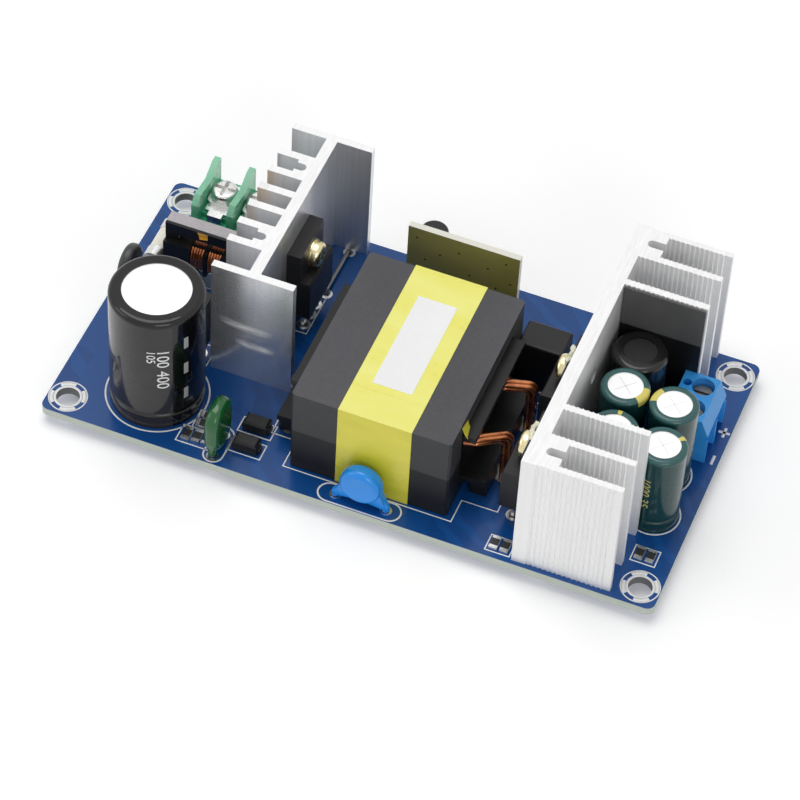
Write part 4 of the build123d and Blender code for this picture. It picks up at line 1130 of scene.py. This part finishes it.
viaLook = {
    "radius": 0.2,
    "thickness": 0.03,
    "lift": 0.01,
    "steps": 12,
    "spots": (
        (-8.6, 12.4), (-6.9, 5.2), (-6.9, 7.6), (-4.2, 9.8), (-2.1, 4.3), (-0.8, 11.7),
        (1.4, 7.1), (2.9, 3.6), (4.6, 10.2), (6.3, 5.9), (7.8, 12.6), (8.9, 8.0)),
}


# Small dark vias on the control board's front face.
def makeVias():
    look = viaLook
    low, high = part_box("control_board")
    middleX = (low[0] + high[0]) / 2
    spots = []
    for dx, z in look["spots"]:
        spots.append((middleX + dx * mm, low[1] - look["lift"] * mm, low[2] + z * mm))
    tree = Growth("controlVias", {"Radius": look["radius"] * mm, "Depth": look["thickness"] * mm})
    dot = tree.node("GeometryNodeMeshCylinder", values={
        "Vertices": look["steps"], "Radius": tree.size("Radius"), "Depth": tree.size("Depth")})
    dots = tree.node("GeometryNodeInstanceOnPoints", values={
        "Points": tree.start, "Instance": dot, "Rotation": (math.pi / 2, 0, 0)})
    tree.close(dots, materials["bobbin"])
    return tree.grow("controlVias", pointMesh("controlVias", spots))


keep(makeVias())

# Each row is (text, height, centre, radius, turn, middle above the board).
numberLook = {
    "bulk": [
        ("100 400", 2.1, (-38.0, -18.0), 8.15, -60.0, 15.0),
        ("105", 1.5, (-38.0, -18.0), 8.15, -74.0, 18.0)],
    "output": [
        ("1000 35", 1.6, (48.4, -9.5), 4.2, -104.0, 9.5),
        ("1000 35", 1.6, (47.3, -0.4), 4.2, -62.0, 9.5)],
    "sizePerHeight": 1.4,
    "proud": 0.03,
    "ink": 0.01,
    "cuts": 2,
}


# Plain numbers that run down a round sleeve.
def wrapNumbers(name, rows, material):
    look = numberLook
    whole = bmesh.new()
    for text, height, centre, radius, turn, middle in rows:
        curve = bpy.data.curves.new(name, "FONT")
        curve.body = text
        curve.size = height * look["sizePerHeight"] * mm
        curve.align_x = "CENTER"
        curve.align_y = "CENTER"
        curve.extrude = look["ink"] * mm
        thing = bpy.data.objects.new(name, curve)
        bpy.context.scene.collection.objects.link(thing)
        flat = plainMesh(thing)
        bpy.data.objects.remove(thing)
        shape = bmesh.new()
        shape.from_mesh(flat)
        bmesh.ops.remove_doubles(shape, verts=shape.verts, dist=1e-7)
        bmesh.ops.triangulate(shape, faces=shape.faces)
        bmesh.ops.subdivide_edges(shape, edges=shape.edges, cuts=look["cuts"], use_grid_fill=True)
        for vert in shape.verts:
            angle = math.radians(turn) + vert.co.y / (radius * mm)
            out = (radius + look["proud"]) * mm + vert.co.z
            vert.co = Vector((
                centre[0] * mm + out * math.cos(angle), centre[1] * mm + out * math.sin(angle),
                boardTop + middle * mm - vert.co.x))
        shape.to_mesh(flat)
        shape.free()
        whole.from_mesh(flat)
        bpy.data.meshes.remove(flat)
    return placeShape(name, whole, material)


keep(wrapNumbers("bulkNumbers", numberLook["bulk"], materials["print"]))
keep(wrapNumbers("outputNumbers", numberLook["output"], materials["goldInk"]))

# Each leaf has four corners: (x, y, height above the board) in millimetres.
tapeBitLook = {
    "thick": 0.08,
    "bow": 0.12,
    "rows": 8,
    "columns": 4,
    "amber": [
        ((-41.6, 7.18, 13.40), (-39.8, 7.18, 13.40), (-39.7, 7.12, 12.3), (-41.2, 7.12, 12.0))],
    "yellow": [
        ((16.95, -18.9, 17.2), (16.95, -16.2, 16.4), (17.7, -16.0, 14.0), (17.9, -18.6, 14.6))],
    "black": [
        ((16.95, 3.2, 10.9), (16.95, 6.0, 11.6), (18.9, 5.4, 12.6), (18.2, 3.8, 9.6)),
        ((16.95, -12.4, 14.8), (16.95, -8.1, 14.9), (18.1, -8.6, 11.7), (17.8, -12.0, 12.4))],
}


# Loose ends of tape: four-cornered leaves, bent a little and given a thickness.
def makeTapeBits(name, leaves, material):
    look = tapeBitLook
    rowCount, columnCount = look["rows"], look["columns"]
    shape = bmesh.new()
    for leaf in leaves:
        a, b, c, d = [Vector((p[0] * mm, p[1] * mm, boardTop + p[2] * mm)) for p in leaf]
        normal = (b - a).cross(d - a).normalized()
        layers = []
        for side in (0, 1):
            rows = []
            for i in range(rowCount + 1):
                u = i / rowCount
                lift = normal * (math.sin(u * math.pi) * look["bow"] + side * look["thick"]) * mm
                left = a.lerp(d, u) + lift
                right = b.lerp(c, u) + lift
                rows.append([
                    shape.verts.new(left.lerp(right, j / columnCount)) for j in range(columnCount + 1)])
            layers.append(rows)
        for side, rows in enumerate(layers):
            for i in range(rowCount):
                for j in range(columnCount):
                    corners = [rows[i][j], rows[i][j + 1], rows[i + 1][j + 1], rows[i + 1][j]]
                    shape.faces.new(corners if side else corners[::-1])
        rim = [(0, j) for j in range(columnCount)] + [(i, columnCount) for i in range(rowCount)]
        rim += [(rowCount, j) for j in range(columnCount, 0, -1)]
        rim += [(i, 0) for i in range(rowCount, 0, -1)]
        for k, (i, j) in enumerate(rim):
            m, n = rim[(k + 1) % len(rim)]
            shape.faces.new([layers[0][i][j], layers[0][m][n], layers[1][m][n], layers[1][i][j]])
    bmesh.ops.recalc_face_normals(shape, faces=shape.faces)
    return placeShape(name, shape, material)


keep(makeTapeBits("amberTapeBit", tapeBitLook["amber"], materials["amber"]))
keep(makeTapeBits("yellowTapeBit", tapeBitLook["yellow"], materials["tape"]))
keep(makeTapeBits("blackTapeBits", tapeBitLook["black"], materials["tapeBlack"]))

pasteLook = {
    "spots": (  # x, y, z and size of each dab, in millimetres from the screw's middle
        (0.0, 0.3, 2.9, 1.2), (0.0, -1.1, 2.8, 0.95), (0.0, 1.5, 2.7, 0.9), (0.0, 0.9, 3.7, 0.8),
        (0.0, 2.3, 1.9, 0.6)),
    "tabBehindHead": 2.0,
    "squash": 0.42,
    "lumps": 0.0018,
    "lumpScale": 900.0,
    "subdivisions": 4,
}


# Dabs of pale paste squeezed out round the rectifier screws.
def makePaste():
    look = pasteLook
    spots = []
    widths = []
    for low, high in islands("rectifier_screws"):
        middle = (low + high) / 2
        face = low.x + look["tabBehindHead"] * mm
        for dx, dy, dz, size in look["spots"]:
            spots.append((face + dx * mm, middle.y + dy * mm, middle.z + dz * mm))
            widths.append(size * mm)
    tree = Growth("screwPaste", {"Squash": look["squash"], "Lumps": look["lumps"]})
    ball = tree.node("GeometryNodeMeshIcoSphere", values={
        "Radius": 1.0, "Subdivisions": look["subdivisions"]})
    wide = tree.node("GeometryNodeInputNamedAttribute", {"data_type": "FLOAT"}, {"Name": "wide"})
    stretch = tree.node("ShaderNodeCombineXYZ", values={
        0: wide * tree.size("Squash"), 1: wide, 2: wide})
    dabs = tree.node("GeometryNodeInstanceOnPoints", values={
        "Points": tree.start, "Instance": ball, "Scale": stretch})
    solid = tree.node("GeometryNodeRealizeInstances", values={0: dabs})
    lump = tree.node("ShaderNodeTexNoise", {"noise_dimensions": "3D"}, {
        "Vector": tree.node("GeometryNodeInputPosition"), "Scale": look["lumpScale"], "Detail": 2.0})
    away = tree.node("ShaderNodeVectorMath", {"operation": "SCALE"}, {
        0: tree.node("GeometryNodeInputNormal"), 3: (lump - 0.5) * tree.size("Lumps")})
    moved = tree.node("GeometryNodeSetPosition", values={"Geometry": solid, "Offset": away})
    smooth = tree.node("GeometryNodeSetShadeSmooth", values={0: moved})
    tree.close(smooth, materials["paste"])
    return tree.grow("screwPaste", pointMesh("screwPaste", spots, widths))


keep(makePaste())
print("tape ends and paste added")


# Rays that see the plain background: from the camera, off gloss and through clear material.
def seenRays(sheet):
    path = sheet.node("ShaderNodeLightPath")
    return path.either(path.other(3)).either(path.other(6))


floorLook = {
    "half": 3.0,
    "color": (0.93, 0.93, 0.93, 1),
    "lift": 0.24,
    "roughness": 0.9,
    "specular": 0.1,
}


def makeFloor():
    look = floorLook
    half = look["half"]
    mesh = bpy.data.meshes.new("floor")
    corners = [(-half, -half, 0), (half, -half, 0), (half, half, 0), (-half, half, 0)]
    mesh.from_pydata(corners, [], [(0, 1, 2, 3)])
    made = Finish("paleFloor", {
        "Roughness": look["roughness"], "Specular IOR Level": look["specular"],
        "Base Color": look["color"], "Emission Strength": 1})
    made.set("Emission Color", made.blend(seenRays(made), grey(0), grey(look["lift"])))
    mesh.materials.append(made.material)
    place("floor", mesh)


makeFloor()

lamps = {
    "topSoft": {"at": (-0.25, 0.15, 1.1), "aim": (0, 0, 0), "size": 0.8, "power": 5.8},
    "frontSoft": {"at": (0.75, -1.1, 0.7), "aim": (0, 0, 0.01), "size": 0.7, "power": 3.9},
    "leftSoft": {"at": (-1.0, -0.5, 0.6), "aim": (0, 0, 0.01), "size": 0.6, "power": 1.8},
}
for name, lamp in lamps.items():
    data = bpy.data.lights.new(name, "AREA")
    data.shape = "SQUARE"
    data.size = lamp["size"]
    data.energy = lamp["power"]
    thing = bpy.data.objects.new(name, data)
    thing.location = lamp["at"]
    aim = Vector(lamp["aim"]) - Vector(lamp["at"])
    thing.rotation_euler = aim.to_track_quat("-Z", "Y").to_euler()
    bpy.context.scene.collection.objects.link(thing)

skyLook = {"onObject": 0.34, "seenMore": 0.62}
sky = bpy.data.worlds.new("studio")
sky.use_nodes = True
bpy.context.scene.world = sky
skySheet = Sheet(sky.node_tree)
background = sky.node_tree.nodes["Background"]
background.inputs[0].default_value = (1, 1, 1, 1)
skySheet.feed(background.inputs[1], seenRays(skySheet) * skyLook["seenMore"] + skyLook["onObject"])

cameraLook = {
    "place": (0.13791, -0.40902, 0.49364),
    "turn": (40.90097, -2.42884, 21.50673),
    "lens": 172.67,
    "sensor": 36,
}
cameraData = bpy.data.cameras.new("photoView")
cameraData.lens = cameraLook["lens"]
cameraData.sensor_width = cameraLook["sensor"]
camera = bpy.data.objects.new("photoView", cameraData)
camera.location = Vector(cameraLook["place"]) + Vector((0, 0, boardTop))
camera.rotation_euler = Euler([math.radians(a) for a in cameraLook["turn"]], "XYZ")
bpy.context.scene.collection.objects.link(camera)
bpy.context.scene.camera = camera
bpy.context.scene.view_settings.view_transform = "Standard"
print("stage and camera set")
